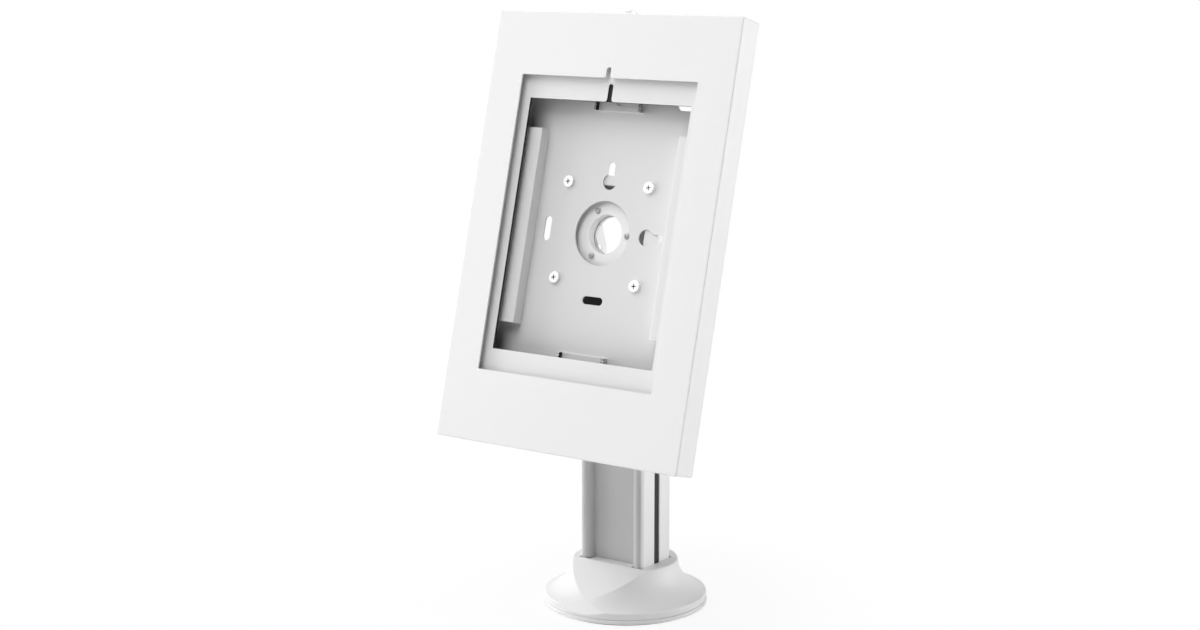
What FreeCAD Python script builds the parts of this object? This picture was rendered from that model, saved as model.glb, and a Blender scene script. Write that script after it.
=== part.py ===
import FreeCAD, Part
import math
import os
import re

import Sketcher

# Driving sizes in millimetres and degrees.
# The base stands on the table at height 0, the column stands on the origin and the screen faces -Y.
SIZES = {
    "pad_radius": 61.0,
    "pad_thickness": 1.5,
    "disc_radius": 65.0,
    "disc_thickness": 3.5,
    "disc_edge": 1.0,
    "bolt_circle": 108.0,
    "bolt_hole": 6.6,
    "bell_radius": 64.5,
    "bell_wall": 2.5,
    "bell_rim_height": 10.5,
    "bell_edge": 0.5,
    "bell_curve": 28.2,
    "bell_neck_radius": 41.8,
    "bell_height": 37.0,
    "bell_top_edge": 1.0,
    "facet_height": 38.2,
    "facet_slope": 35.5,
    "facet_reach": 10.0,
    "column_width": 60.0,
    "column_depth": 42.4,
    "column_top": 248.0,
    "rail_width": 10.0,
    "rail_recess": 8.0,
    "profile_wall": 2.5,
    "slot_width": 7.0,
    "slot_lip": 2.0,
    "slot_chamber_width": 11.0,
    "slot_chamber_depth": 6.0,
    "port_inset": 7.0,
    "port_bore": 4.2,
    "port_screw": 4.0,
    "port_screw_length": 18.0,
    "port_sink_radius": 3.9,
    "port_sink": 2.0,
    "port_head_radius": 4.0,
    "port_head_height": 2.8,
    "port_crown": 1.0,
    "screw_gap": 0.2,
    "overcut": 1.0,
    "strip_recess": 1.0,
    "strip_foot": 1.5,
    "strip_gap": 0.15,
    "profile_gap": 0.3,
    "cap_top": 2.0,
    "cap_skirt": 20.0,
    "cap_wall": 1.5,
    "cap_corner": 3.0,
    "bracket_thickness": 3.0,
    "pivot_height": 282.8,
    "pivot_drop": 9.0,
    "pivot_reach": 35.8,
    "rest_tilt": 14.8,
    "head_foot_depth": 36.0,
    "head_ear_radius": 9.5,
    "yoke_ear_radius": 9.7,
    "yoke_ear_face": 25.6,
    "yoke_top": 41.0,
    "yoke_bottom": 31.0,
    "ear_gap": 0.7,
    "pivot_bore": 6.1,
    "pivot_pin": 6.0,
    "pivot_head_radius": 5.5,
    "pivot_head_height": 3.2,
    "washer_inset": 1.0,
    "window_inset": 5.5,
    "window_depth": 10.5,
    "window_rise": 15.5,
    "window_foot": 1.5,
    "plate_thickness": 1.5,
    "hub_hole": 50.0,
    "hub_bore": 30.0,
    "counter_bore": 32.0,
    "boss_radius": 22.0,
    "ring_face_depth": 6.0,
    "ring_thickness": 2.0,
    "ring_radius": 27.5,
    "ring_screw_circle": 40.0,
    "ring_screw": 2.8,
    "ring_head_radius": 2.3,
    "ring_head_height": 1.6,
    "friction_thickness": 0.5,
    "face_gap": 0.05,
    "turn_gap": 0.3,
    "mount_plate_thickness": 2.5,
    "mount_plate_width": 100.0,
    "mount_plate_height": 90.0,
    "mount_corner": 6.0,
    "well_width": 74.0,
    "well_corner": 14.0,
    "mount_pitch": 75.0,
    "mount_screw": 4.0,
    "mount_head_radius": 4.25,
    "mount_head_height": 2.6,
    "cover_width": 225.0,
    "cover_above": 165.7,
    "cover_below": 171.5,
    "cover_front": 23.0,
    "cover_back": 1.0,
    "sheet_wall": 1.5,
    "cover_fit": 0.6,
    "corner_radius": 2.0,
    "front_edge": 0.8,
    "window_width": 162.0,
    "window_height": 231.5,
    "camera_slot": 4.0,
    "camera_slot_top": 124.0,
    "tray_flange": 8.0,
    "lock_notch": 24.0,
    "frame_width": 200.0,
    "frame_height": 284.0,
    "frame_face": 17.0,
    "frame_thickness": 1.2,
    "frame_window_width": 149.0,
    "frame_window_height": 197.0,
    "frame_slot_top": 112.3,
    "frame_stud_across": 184.0,
    "frame_stud_along": 262.0,
    "stud_size": 3.0,
    "nut_height": 2.4,
    "nut_across": 5.5,
    "stud_tail": 1.0,
    "spacer_wall": 2.0,
    "keyhole_offset": 40.0,
    "keyhole_bore": 12.5,
    "keyhole_slot": 6.0,
    "keyhole_end": 55.0,
    "side_slot_offset": 52.0,
    "side_slot_length": 19.0,
    "side_slot_width": 6.2,
    "cable_slot_length": 25.0,
    "cable_slot_width": 6.5,
    "cable_slot_across": 64.5,
    "cable_slot_up": 102.0,
    "channel_face": 63.5,
    "channel_height": 10.5,
    "channel_flange": 26.5,
    "channel_foot": 16.0,
    "channel_length": 153.0,
    "stop_width": 43.0,
    "stop_start": 94.0,
    "stop_end": 121.5,
    "stop_ear_thickness": 2.4,
    "stop_ear_height": 5.0,
    "stop_ear_end": 112.0,
    "stop_lip_height": 13.5,
    "stop_hole": 8.0,
    "lock_depth": 9.5,
    "lock_head_radius": 7.0,
    "lock_head_height": 5.0,
    "lock_body_radius": 6.0,
    "lock_body_length": 15.7,
    "lock_head_edge": 1.0,
    "lock_nut_height": 2.5,
    "lock_nut_across": 16.0,
    "lock_bore": 8.0,
    "plug_gap": 0.05,
    "plug_recess": 0.5,
    "key_slot": 1.4,
    "key_inset": 1.0,
    "key_depth": 5.0,
    "cam_reach": 8.5,
    "cam_width": 7.0,
    "cam_play": 0.5,
    "cam_screw_play": 1.0,
    "cam_thickness": 2.0,
    "cam_screw": 3.0,
    "cam_screw_depth": 6.0,
    "cam_head_height": 1.8,
    "keeper_edge": 4.2,
    "keeper_face": 13.2,
    "keeper_foot": 22.0,
    "keeper_length": 7.5,
    "keeper_step": 3.0,
    "keeper_set": 1.0,
}

# Values worked out from the driving sizes, as expressions.
DISC_TOP = "(pad_thickness + disc_thickness)"
BELL_FOOT = "(pad_thickness + disc_thickness + profile_gap)"
BOLT_PLACE = "(bolt_circle / 2 * cos(45))"
PORT_X = "(column_width / 2 - rail_width / 2)"
PORT_Y = "(column_depth / 2 - port_inset)"
SINK_RADIUS = "(port_sink_radius + screw_gap)"
CAP_TOP = "(column_top + cap_top)"
HEAD_EAR_INNER = "(yoke_ear_face + bracket_thickness + ear_gap)"
HEAD_EAR_OUTER = "(yoke_ear_face + 2 * bracket_thickness + ear_gap)"
PLATE_BACK = "(-plate_thickness)"
MOUNT_BACK = "(-plate_thickness - mount_plate_thickness)"
RING_RADIUS = "ring_radius"
RING_BACK = "(-ring_face_depth - ring_thickness)"
WELL_OUTER = "(well_width + 2 * mount_plate_thickness)"
DISC_OUTER = "(hub_hole / 2 + mount_plate_thickness)"
FLOOR_FRONT = "(-ring_face_depth - ring_thickness - friction_thickness - 2 * face_gap)"
FLOOR_BACK = "(-ring_face_depth - ring_thickness - friction_thickness - 2 * face_gap - mount_plate_thickness)"
YOKE_FRONT = ("(-ring_face_depth - ring_thickness - 2 * friction_thickness - 4 * face_gap"
              " - mount_plate_thickness)")
YOKE_BACK = ("(-ring_face_depth - ring_thickness - 2 * friction_thickness - 4 * face_gap"
             " - mount_plate_thickness - bracket_thickness)")
TRAY_HALF_WIDTH = "(cover_width / 2 - sheet_wall - cover_fit)"
TRAY_TOP = "(cover_above - sheet_wall - cover_fit)"
TRAY_BOTTOM = "(cover_below - sheet_wall - cover_fit)"
COVER_INNER_FACE = "(cover_front - sheet_wall)"
FRAME_BACK = "(frame_face - frame_thickness)"
STUD_X = "(-frame_stud_across / 2)"
STUD_Y = "(-frame_stud_along / 2)"
LOCK_FOOT = "(cover_above - lock_body_length)"
CAM_TOP = "(cover_above - lock_body_length - cam_play)"
CAM_FOOT = "(cover_above - lock_body_length - cam_play - cam_thickness)"

doc = FreeCAD.newDocument("TabletHolder")
sheet = doc.addObject("Spreadsheet::Sheet", "Sizes")
for row, (alias, size) in enumerate(SIZES.items(), start=1):
    sheet.set("A%d" % row, alias.replace("_", " "))
    sheet.set("B%d" % row, str(size))
    sheet.setAlias("B%d" % row, alias)
doc.recompute()

# The finished sub-parts, in the order they are made.
SUBPARTS = []


def formula(text):
    """Write the sheet's name before each size that an expression names."""
    return re.sub(r"\b([a-z][a-z_]+)\b(?!\()", r"Sizes.\1", text)


def number(text):
    """The present value of an expression."""
    return float(sheet.evalExpression(text))


def bind(owner, path, text):
    """Tie a property of a document object to an expression."""
    owner.setExpression(path, formula(text))


def new_body(label):
    """A body in the frame of the base."""
    body = doc.addObject("PartDesign::Body", label)
    body.Label = label
    SUBPARTS.append(body)
    return body


def new_plate_body(label):
    """A body in the frame of the tilted back plate: x across, y up the plate, z out of the screen."""
    body = new_body(label)
    upright = FreeCAD.Rotation(FreeCAD.Vector(1, 0, 0), 90)
    body.Placement = FreeCAD.Placement(FreeCAD.Vector(0, 0, 0), upright)
    bind(body, ".Placement.Base.y", "pivot_drop * sin(rest_tilt) - pivot_reach * cos(rest_tilt)")
    bind(body, ".Placement.Base.z",
         "pivot_height + pivot_drop * cos(rest_tilt) + pivot_reach * sin(rest_tilt)")
    bind(body, ".Placement.Rotation.Angle", "90 - rest_tilt")
    return body


def origin_item(body, role):
    """One of the body's own origin planes or axes."""
    return [item for item in body.Origin.OriginFeatures if item.Role == role][0]


def new_sketch(body, role, offset="0"):
    """An empty sketch on one of the body's own origin planes, moved along the plane's normal."""
    sketch = body.newObject("Sketcher::SketchObject", body.Name + "_sketch")
    sketch.AttachmentSupport = [(origin_item(body, role), "")]
    sketch.MapMode = "FlatFace"
    bind(sketch, ".AttachmentOffset.Base.z", offset)
    return sketch


def dimension(sketch, kind, *target):
    """Add a dimension to a sketch; the last item is its expression."""
    index = sketch.addConstraint(Sketcher.Constraint(kind, *target[:-1], number(target[-1])))
    bind(sketch, "Constraints[%d]" % index, target[-1])


def place_point(sketch, edge, end, x, y):
    """Give one end of an edge, or a centre, its two distances from the sketch's origin."""
    dimension(sketch, "DistanceX", -1, 1, edge, end, x)
    dimension(sketch, "DistanceY", -1, 1, edge, end, y)


def join(sketch, kind, first, second):
    """Join the end of one edge to the start of the next."""
    sketch.addConstraint(Sketcher.Constraint(kind, first, 2, second, 1))


def outline(sketch, points):
    """A closed outline of straight edges through the given points."""
    corners = [FreeCAD.Vector(number(x), number(y), 0) for x, y in points]
    count = len(corners)
    first = sketch.GeometryCount
    for index in range(count):
        sketch.addGeometry(Part.LineSegment(corners[index], corners[(index + 1) % count]), False)
    for index in range(count):
        join(sketch, "Coincident", first + index, first + (index + 1) % count)
    for index, (x, y) in enumerate(points):
        place_point(sketch, first + index, 1, x, y)


def rectangle(sketch, left, bottom, right, top):
    """A rectangle from its two opposite corners."""
    outline(sketch, [(left, bottom), (right, bottom), (right, top), (left, top)])


def centred(sketch, width, height):
    """A rectangle about the sketch's origin."""
    rectangle(sketch, "-(%s) / 2" % width, "-(%s) / 2" % height, "(%s) / 2" % width, "(%s) / 2" % height)


def circle(sketch, x, y, radius):
    """A circle from its centre and radius."""
    centre = FreeCAD.Vector(number(x), number(y), 0)
    edge = sketch.addGeometry(Part.Circle(centre, FreeCAD.Vector(0, 0, 1), number(radius)), False)
    place_point(sketch, edge, 3, x, y)
    dimension(sketch, "Radius", edge, radius)


def ring(sketch, x, y, outer, inner):
    """Two circles about one centre."""
    circle(sketch, x, y, outer)
    circle(sketch, x, y, inner)


def hexagon(sketch, x, y, across):
    """A hexagon from its width across the flats."""
    corners = range(0, 360, 60)
    outline(sketch, [("%s + %s / 2 / cos(30) * cos(%d)" % (x, across, turn),
                      "%s + %s / 2 / cos(30) * sin(%d)" % (y, across, turn)) for turn in corners])


def bow(centre, radius, start, end):
    """An arc of a circle between two angles in degrees."""
    full = Part.Circle(centre, FreeCAD.Vector(0, 0, 1), radius)
    return Part.ArcOfCircle(full, math.radians(start), math.radians(end))


def long_hole(sketch, x, y, length, width, upright):
    """A slot with round ends about its centre; its length is taken over the ends."""
    reach = (number(length) - number(width)) / 2
    radius = number(width) / 2
    along = FreeCAD.Vector(0, 1, 0) if upright else FreeCAD.Vector(1, 0, 0)
    side = FreeCAD.Vector(-along.y, along.x, 0) * radius
    turn = 90 if upright else 0
    centre = FreeCAD.Vector(number(x), number(y), 0)
    far = centre + along * reach
    near = centre - along * reach
    edges = [bow(far, radius, turn - 90, turn + 90), Part.LineSegment(far + side, near + side),
             bow(near, radius, turn + 90, turn + 270), Part.LineSegment(near - side, far - side)]
    head, left, foot, right = [sketch.addGeometry(edge, False) for edge in edges]
    for first, second in ((head, left), (left, foot), (foot, right), (right, head)):
        join(sketch, "Tangent", first, second)
    dimension(sketch, "Radius", head, "(%s) / 2" % width)
    step = "((%s) - (%s)) / 2" % (length, width)
    for end, sign in ((head, "+"), (foot, "-")):
        if upright:
            place_point(sketch, end, 3, x, "%s %s %s" % (y, sign, step))
        else:
            place_point(sketch, end, 3, "%s %s %s" % (x, sign, step), y)


def rounded_square(sketch, width, corner):
    """A square about the sketch's origin with round corners."""
    reach = number(width) / 2 - number(corner)
    radius = number(corner)
    step = "((%s) / 2 - (%s))" % (width, corner)
    names = []
    for turn, (x, y) in zip(range(0, 360, 90), ((1, 1), (-1, 1), (-1, -1), (1, -1))):
        centre = FreeCAD.Vector(x * reach, y * reach, 0)
        away = FreeCAD.Vector(math.cos(math.radians(turn + 90)), math.sin(math.radians(turn + 90)), 0)
        start = centre + away * radius
        arc = sketch.addGeometry(bow(centre, radius, turn, turn + 90), False)
        side = FreeCAD.Vector(-away.y, away.x, 0)
        names += [arc, sketch.addGeometry(Part.LineSegment(start, start + side * 2 * reach), False)]
        dimension(sketch, "Radius", arc, corner)
        place_point(sketch, arc, 3, "%d * %s" % (x, step), "%d * %s" % (y, step))
    for first, second in zip(names, names[1:] + names[:1]):
        join(sketch, "Tangent", first, second)


def lug(sketch, points, centre_x, centre_y, radius):
    """An outline, counter-clockwise, whose last and first points run by tangents into a round end."""
    centre = FreeCAD.Vector(number(centre_x), number(centre_y), 0)
    size = number(radius)
    corners = [FreeCAD.Vector(number(x), number(y), 0) for x, y in points]
    angles = []
    for corner, turn in ((corners[-1], 1), (corners[0], -1)):
        away = corner - centre
        angles.append(math.degrees(math.atan2(away.y, away.x) + turn * math.acos(size / away.Length)))
    nose_curve = bow(centre, size, angles[0], angles[0] + (angles[1] - angles[0]) % 360)
    edges = [Part.LineSegment(start, end) for start, end in zip(corners, corners[1:])]
    edges.append(Part.LineSegment(corners[-1], nose_curve.StartPoint))
    edges.append(nose_curve)
    edges.append(Part.LineSegment(nose_curve.EndPoint, corners[0]))
    names = [sketch.addGeometry(edge, False) for edge in edges]
    down, nose, back = names[-3:]
    for first, second in zip(names[:-3], names[1:-2]):
        join(sketch, "Coincident", first, second)
    join(sketch, "Tangent", down, nose)
    join(sketch, "Tangent", nose, back)
    join(sketch, "Coincident", back, names[0])
    for name, (x, y) in zip(names, points):
        place_point(sketch, name, 1, x, y)
    place_point(sketch, nose, 3, centre_x, centre_y)
    dimension(sketch, "Radius", nose, radius)


def extrude(body, role, start, stop, draw, *sizes):
    """Raise a drawn outline into a solid between two heights on the plane's axis."""
    level = "-(%s)" % stop if role == "XZ_Plane" else start
    sketch = new_sketch(body, role, level)
    draw(sketch, *sizes)
    feature = body.newObject("PartDesign::Pad", body.Name + "_pad")
    feature.Profile = sketch
    bind(feature, ".Length", "(%s) - (%s)" % (stop, start))
    body.Tip = feature
    return feature


def cut(body, role, start, stop, draw, *sizes):
    """Cut a drawn outline out of the solid between two heights on the plane's axis."""
    level = "-(%s)" % start if role == "XZ_Plane" else stop
    sketch = new_sketch(body, role, level)
    draw(sketch, *sizes)
    feature = body.newObject("PartDesign::Pocket", body.Name + "_pocket")
    feature.Profile = sketch
    bind(feature, ".Length", "(%s) - (%s)" % (stop, start))
    body.Tip = feature
    return feature


def cut_through(body, role, draw, *sizes):
    """Cut a drawn outline right through the solid."""
    sketch = new_sketch(body, role)
    draw(sketch, *sizes)
    feature = body.newObject("PartDesign::Pocket", body.Name + "_pocket")
    feature.Profile = sketch
    feature.SideType = "Symmetric"
    feature.Type = "ThroughAll"
    body.Tip = feature
    return feature


def spin(body, kind, points, x="0", y="0"):
    """Turn an outline of radii and heights about an upright axis; kind adds or cuts."""
    sketch = new_sketch(body, "XZ_Plane", "-(%s)" % y)
    bind(sketch, ".AttachmentOffset.Base.x", x)
    outline(sketch, points)
    feature = body.newObject("PartDesign::" + kind, body.Name + "_" + kind.lower())
    feature.Profile = sketch
    feature.ReferenceAxis = (sketch, ["V_Axis"])
    feature.Angle = 360
    body.Tip = feature
    return feature


def fillet(body, test, radius):
    """Round the edges of the present solid that pass the test."""
    doc.recompute()
    base = body.Tip
    names = ["Edge%d" % index for index, edge in enumerate(base.Shape.Edges, start=1) if test(edge)]
    feature = body.newObject("PartDesign::Fillet", body.Name + "_fillet")
    feature.Base = (base, names)
    bind(feature, ".Radius", radius)
    body.Tip = feature
    return feature


def straight_along(edge, axis):
    """Whether an edge is a straight one parallel to an axis of its body."""
    return edge.Curve.TypeId == "Part::GeomLine" and abs(abs(edge.Curve.Direction.dot(axis)) - 1) < 1e-6


def polar(body, feature, count):
    """Repeat a feature evenly about the body's z axis."""
    pattern = body.newObject("PartDesign::PolarPattern", body.Name + "_pattern")
    pattern.Originals = [feature]
    pattern.Axis = (origin_item(body, "Z_Axis"), [""])
    pattern.Angle = 360
    pattern.Occurrences = count
    body.Tip = pattern
    return pattern


def grid(body, feature, across, up):
    """Repeat a feature at the four corners of a rectangle, starting from its lowest corner."""
    transform = body.newObject("PartDesign::MultiTransform", body.Name + "_grid")
    steps = []
    for role, length in (("X_Axis", across), ("Y_Axis", up)):
        step = body.newObject("PartDesign::LinearPattern", body.Name + "_step")
        step.Direction = (origin_item(body, role), [""])
        bind(step, ".Length", length)
        step.Occurrences = 2
        steps.append(step)
    transform.Originals = [feature]
    transform.Transformations = steps
    body.Tip = transform
    return transform


def make_base_pad():
    """Rubber pad under the steel disc, with the bolt holes through it."""
    body = new_body("base_pad")
    extrude(body, "XY_Plane", "0", "pad_thickness", circle, "0", "0", "pad_radius")
    hole = cut_through(body, "XY_Plane", circle, BOLT_PLACE, BOLT_PLACE, "bolt_hole / 2")
    polar(body, hole, 4)


def make_base_disc():
    """Steel disc that carries the column: bolt holes outside it, countersunk screw holes under it."""
    body = new_body("base_disc")
    spin(body, "Revolution", [("0", "pad_thickness"), ("disc_radius - disc_edge", "pad_thickness"),
                              ("disc_radius", "pad_thickness + disc_edge"), ("disc_radius", DISC_TOP),
                              ("0", DISC_TOP)])
    hole = cut_through(body, "XY_Plane", circle, BOLT_PLACE, BOLT_PLACE, "bolt_hole / 2")
    polar(body, hole, 4)
    sink = spin(body, "Groove", [("0", "pad_thickness - overcut"), (SINK_RADIUS, "pad_thickness - overcut"),
                                 (SINK_RADIUS, "pad_thickness + screw_gap"),
                                 ("port_screw / 2 + screw_gap", "pad_thickness + port_sink"),
                                 ("port_screw / 2 + screw_gap", DISC_TOP + " + overcut"),
                                 ("0", DISC_TOP + " + overcut")],
                "-" + PORT_X, "-" + PORT_Y)
    grid(body, sink, "2 * " + PORT_X, "2 * " + PORT_Y)


def make_column_base_screws():
    """Four countersunk screws from below into the column's screw ports."""
    body = new_body("column_base_screws")
    screw = spin(body, "Revolution", [("0", "pad_thickness"), ("port_sink_radius", "pad_thickness"),
                                      ("port_screw / 2", "pad_thickness + port_sink"),
                                      ("port_screw / 2", "pad_thickness + port_screw_length"),
                                      ("0", "pad_thickness + port_screw_length")],
                 "-" + PORT_X, "-" + PORT_Y)
    grid(body, screw, "2 * " + PORT_X, "2 * " + PORT_Y)


def bell_section(sketch, wall):
    """Half section of the bell, drawn in by a wall: upright lip, hollow curve, flat top."""
    points = [("0", BELL_FOOT), ("bell_radius - %s" % wall, BELL_FOOT),
              ("bell_radius - %s" % wall, "bell_rim_height - bell_edge - %s" % wall),
              ("bell_radius - bell_edge - %s" % wall, "bell_rim_height - %s" % wall),
              ("bell_neck_radius - %s" % wall, "bell_height - bell_top_edge - %s" % wall),
              ("bell_neck_radius - bell_top_edge - %s" % wall, "bell_height - %s" % wall),
              ("0", "bell_height - %s" % wall)]
    corners = [FreeCAD.Vector(number(x), number(y), 0) for x, y in points]
    rim, neck = corners[3], corners[4]
    size = number("bell_curve + %s" % wall)
    chord = neck - rim
    outward = FreeCAD.Vector(chord.y, -chord.x, 0).normalize()
    centre = (rim + neck) * 0.5 + outward * math.sqrt(size ** 2 - (chord.Length / 2) ** 2)
    middle = centre + (rim + neck - centre * 2).normalize() * size
    edges = [Part.LineSegment(start, end) for start, end in zip(corners, corners[1:] + corners[:1])]
    edges[3] = Part.ArcOfCircle(neck, middle, rim)
    names = [sketch.addGeometry(edge, False) for edge in edges]
    ends = [(name, 1, 2) for name in names]
    if edges[3].StartPoint.distanceToPoint(rim) > 0.1:
        ends[3] = (names[3], 2, 1)
    for (first, _, tail), (second, lead, _) in zip(ends, ends[1:] + ends[:1]):
        sketch.addConstraint(Sketcher.Constraint("Coincident", first, tail, second, lead))
    for (name, lead, _), (x, y) in zip(ends, points):
        place_point(sketch, name, lead, x, y)
    dimension(sketch, "Radius", names[3], "bell_curve + %s" % wall)


def bell_solid(body, wall):
    """Solid bell with its flat facet, drawn in by a wall."""
    sketch = new_sketch(body, "XZ_Plane")
    bell_section(sketch, wall)
    turned = body.newObject("PartDesign::Revolution", body.Name + "_revolution")
    turned.Profile = sketch
    turned.ReferenceAxis = (sketch, ["V_Axis"])
    turned.Angle = 360
    body.Tip = turned
    level = "(facet_height - %s / cos(facet_slope))" % wall
    front = "-(bell_radius + facet_reach)"
    cut(body, "YZ_Plane", "-bell_radius", "bell_radius", outline,
        [("-column_depth / 2 + facet_reach / tan(facet_slope)", level + " + facet_reach"),
         (front, level + " + facet_reach"),
         (front, level + " - (bell_radius + facet_reach - column_depth / 2) * tan(facet_slope)")])


def make_base_cover():
    """Bell-shaped cover over the base disc, with a flat facet at the front and a hole for the column."""
    core = doc.addObject("PartDesign::Body", "base_cover_core")
    bell_solid(core, "bell_wall")
    body = new_body("base_cover")
    bell_solid(body, "0")
    hollow = body.newObject("PartDesign::Boolean", "base_cover_hollow")
    hollow.setObjects([core])
    hollow.Type = "Cut"
    body.Tip = hollow
    cut_through(body, "XY_Plane", profile_block, "column_depth / 2 + profile_gap", "profile_gap")


def profile_block(sketch, nose, gap):
    """Section of the column with square rails, drawn out by a gap; nose is its half depth."""
    across = "(column_width / 2 + %s)" % gap
    inner = "(column_width / 2 - rail_width - %s)" % gap
    face = "(column_depth / 2 - rail_recess + %s)" % gap
    outline(sketch, [("-" + across, "-(%s)" % nose), ("-" + inner, "-(%s)" % nose), ("-" + inner, "-" + face),
                     (inner, "-" + face), (inner, "-(%s)" % nose), (across, "-(%s)" % nose), (across, nose),
                     (inner, nose), (inner, face), ("-" + inner, face), ("-" + inner, nose),
                     ("-" + across, nose)])


def make_column():
    """Extruded column: four round-nosed rails, recessed faces, side slots, screw ports, hollow core."""
    body = new_body("column")
    nose = "column_depth / 2 - rail_width / 2"
    face = "(column_depth / 2 - rail_recess)"
    inner = "(column_width / 2 - rail_width)"
    extrude(body, "XY_Plane", DISC_TOP, "column_top", profile_block, nose, "0")
    rail = extrude(body, "XY_Plane", DISC_TOP, "column_top", circle,
                   "-(column_width / 2 - rail_width / 2)", "-(%s)" % nose, "rail_width / 2")
    grid(body, rail, "column_width - rail_width", "column_depth - rail_width")
    cut_through(body, "XY_Plane", centred, "2 * (%s - 0.5)" % inner, "2 * (%s - profile_wall)" % face)
    for side in (-1, 1):
        cut_through(body, "XY_Plane", slot_section, side, "0", "0")
    port = cut_through(body, "XY_Plane", circle, "-" + PORT_X, "-" + PORT_Y, "port_bore / 2")
    grid(body, port, "2 * " + PORT_X, "2 * " + PORT_Y)


def slot_section(sketch, side, recess, gap):
    """Section of a side slot, or with a recess and a gap that of the strip in it."""
    outer = "column_width / 2 + overcut" if recess == "0" else "column_width / 2 - %s" % recess
    lip = "column_width / 2 - slot_lip - %s" % gap
    back = "column_width / 2 - slot_chamber_depth - slot_lip"
    if recess != "0":
        back = "column_width / 2 - slot_lip - %s - strip_foot" % gap
    mouth = "(slot_width / 2 - %s)" % gap
    chamber = "(slot_chamber_width / 2 - %s)" % gap
    points = [(outer, "-" + mouth), (outer, mouth), (lip, mouth), (lip, chamber), (back, chamber),
              (back, "-" + chamber), (lip, "-" + chamber), (lip, "-" + mouth)]
    outline(sketch, [("%d * (%s)" % (side, x), y) for x, y in points])


def make_slot_strips():
    """Black strips that close the two side slots of the column."""
    for side, label in ((-1, "slot_strip_left"), (1, "slot_strip_right")):
        body = new_body(label)
        extrude(body, "XY_Plane", DISC_TOP, "column_top", slot_section, side, "strip_recess", "strip_gap")


def make_column_cap():
    """Moulded cap over the top end of the column."""
    body = new_body("column_cap")
    outer_width = "column_width + 2 * (cap_wall + profile_gap)"
    outer_depth = "column_depth + 2 * (cap_wall + profile_gap)"
    extrude(body, "XY_Plane", "column_top - cap_skirt", CAP_TOP, centred, outer_width, outer_depth)
    upright = FreeCAD.Vector(0, 0, 1)
    fillet(body, lambda edge: straight_along(edge, upright), "cap_corner")
    cut(body, "XY_Plane", "column_top - cap_skirt", "column_top", centred,
        "column_width + 2 * profile_gap", "column_depth + 2 * profile_gap")
    hole = cut_through(body, "XY_Plane", circle, "-" + PORT_X, "-" + PORT_Y, "port_screw / 2 + screw_gap")
    grid(body, hole, "2 * " + PORT_X, "2 * " + PORT_Y)


def make_head_bracket():
    """Fixed U-bracket on the column, with two ears that carry the tilt pivot."""
    body = new_body("head_bracket")
    floor = "(%s + bracket_thickness)" % CAP_TOP
    half = "head_foot_depth / 2"
    corners = [("-" + half, floor), ("-" + half, CAP_TOP), (half, CAP_TOP), (half, floor)]
    extrude(body, "YZ_Plane", "-" + HEAD_EAR_OUTER, HEAD_EAR_OUTER, lug, corners,
            "0", "pivot_height", "head_ear_radius")
    cut(body, "YZ_Plane", "-" + HEAD_EAR_INNER, HEAD_EAR_INNER, rectangle,
        "-column_depth", floor, "column_depth", "pivot_height + column_depth")
    cut_through(body, "YZ_Plane", circle, "0", "pivot_height", "pivot_bore / 2")
    hole = cut_through(body, "XY_Plane", circle, "-" + PORT_X, "-" + PORT_Y, "port_screw / 2 + screw_gap")
    grid(body, hole, "2 * " + PORT_X, "2 * " + PORT_Y)


def make_head_screws():
    """Four pan-head screws that hold the U-bracket and the cap to the column."""
    body = new_body("head_screws")
    seat = "%s + bracket_thickness" % CAP_TOP
    crown = seat + " + port_head_height"
    screw = spin(body, "Revolution", [("0", crown), ("0", seat + " - port_screw_length"),
                                      ("port_screw / 2", seat + " - port_screw_length"),
                                      ("port_screw / 2", seat), ("port_head_radius", seat),
                                      ("port_head_radius", crown + " - port_crown"),
                                      ("port_head_radius - port_crown", crown)],
                 "-" + PORT_X, "-" + PORT_Y)
    grid(body, screw, "2 * " + PORT_X, "2 * " + PORT_Y)


def make_pivot_bolts():
    """Two button-head bolts, one through each pair of ears, with their ends flush inside the yoke."""
    body = new_body("pivot_bolts")
    for side in (-1, 1):
        inner = ["yoke_ear_face", HEAD_EAR_OUTER, "%s + pivot_head_height" % HEAD_EAR_OUTER]
        spans = [("pivot_pin / 2", inner[0], inner[1]), ("pivot_head_radius", inner[1], inner[2])]
        for radius, near, far in spans:
            if side < 0:
                near, far = "-(%s)" % far, "-(%s)" % near
            extrude(body, "YZ_Plane", near, far, circle, "0", "pivot_height", radius)


def make_pivot_washers():
    """Friction washers between the ears of the yoke and those of the fixed bracket."""
    body = new_body("pivot_washers")
    near = "(yoke_ear_face + bracket_thickness + (ear_gap - friction_thickness) / 2)"
    far = near + " + friction_thickness"
    for start, stop in ((near, far), ("-(%s)" % far, "-" + near)):
        extrude(body, "YZ_Plane", start, stop, ring, "0", "pivot_height", "head_ear_radius - washer_inset",
                "pivot_bore / 2")


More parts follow.
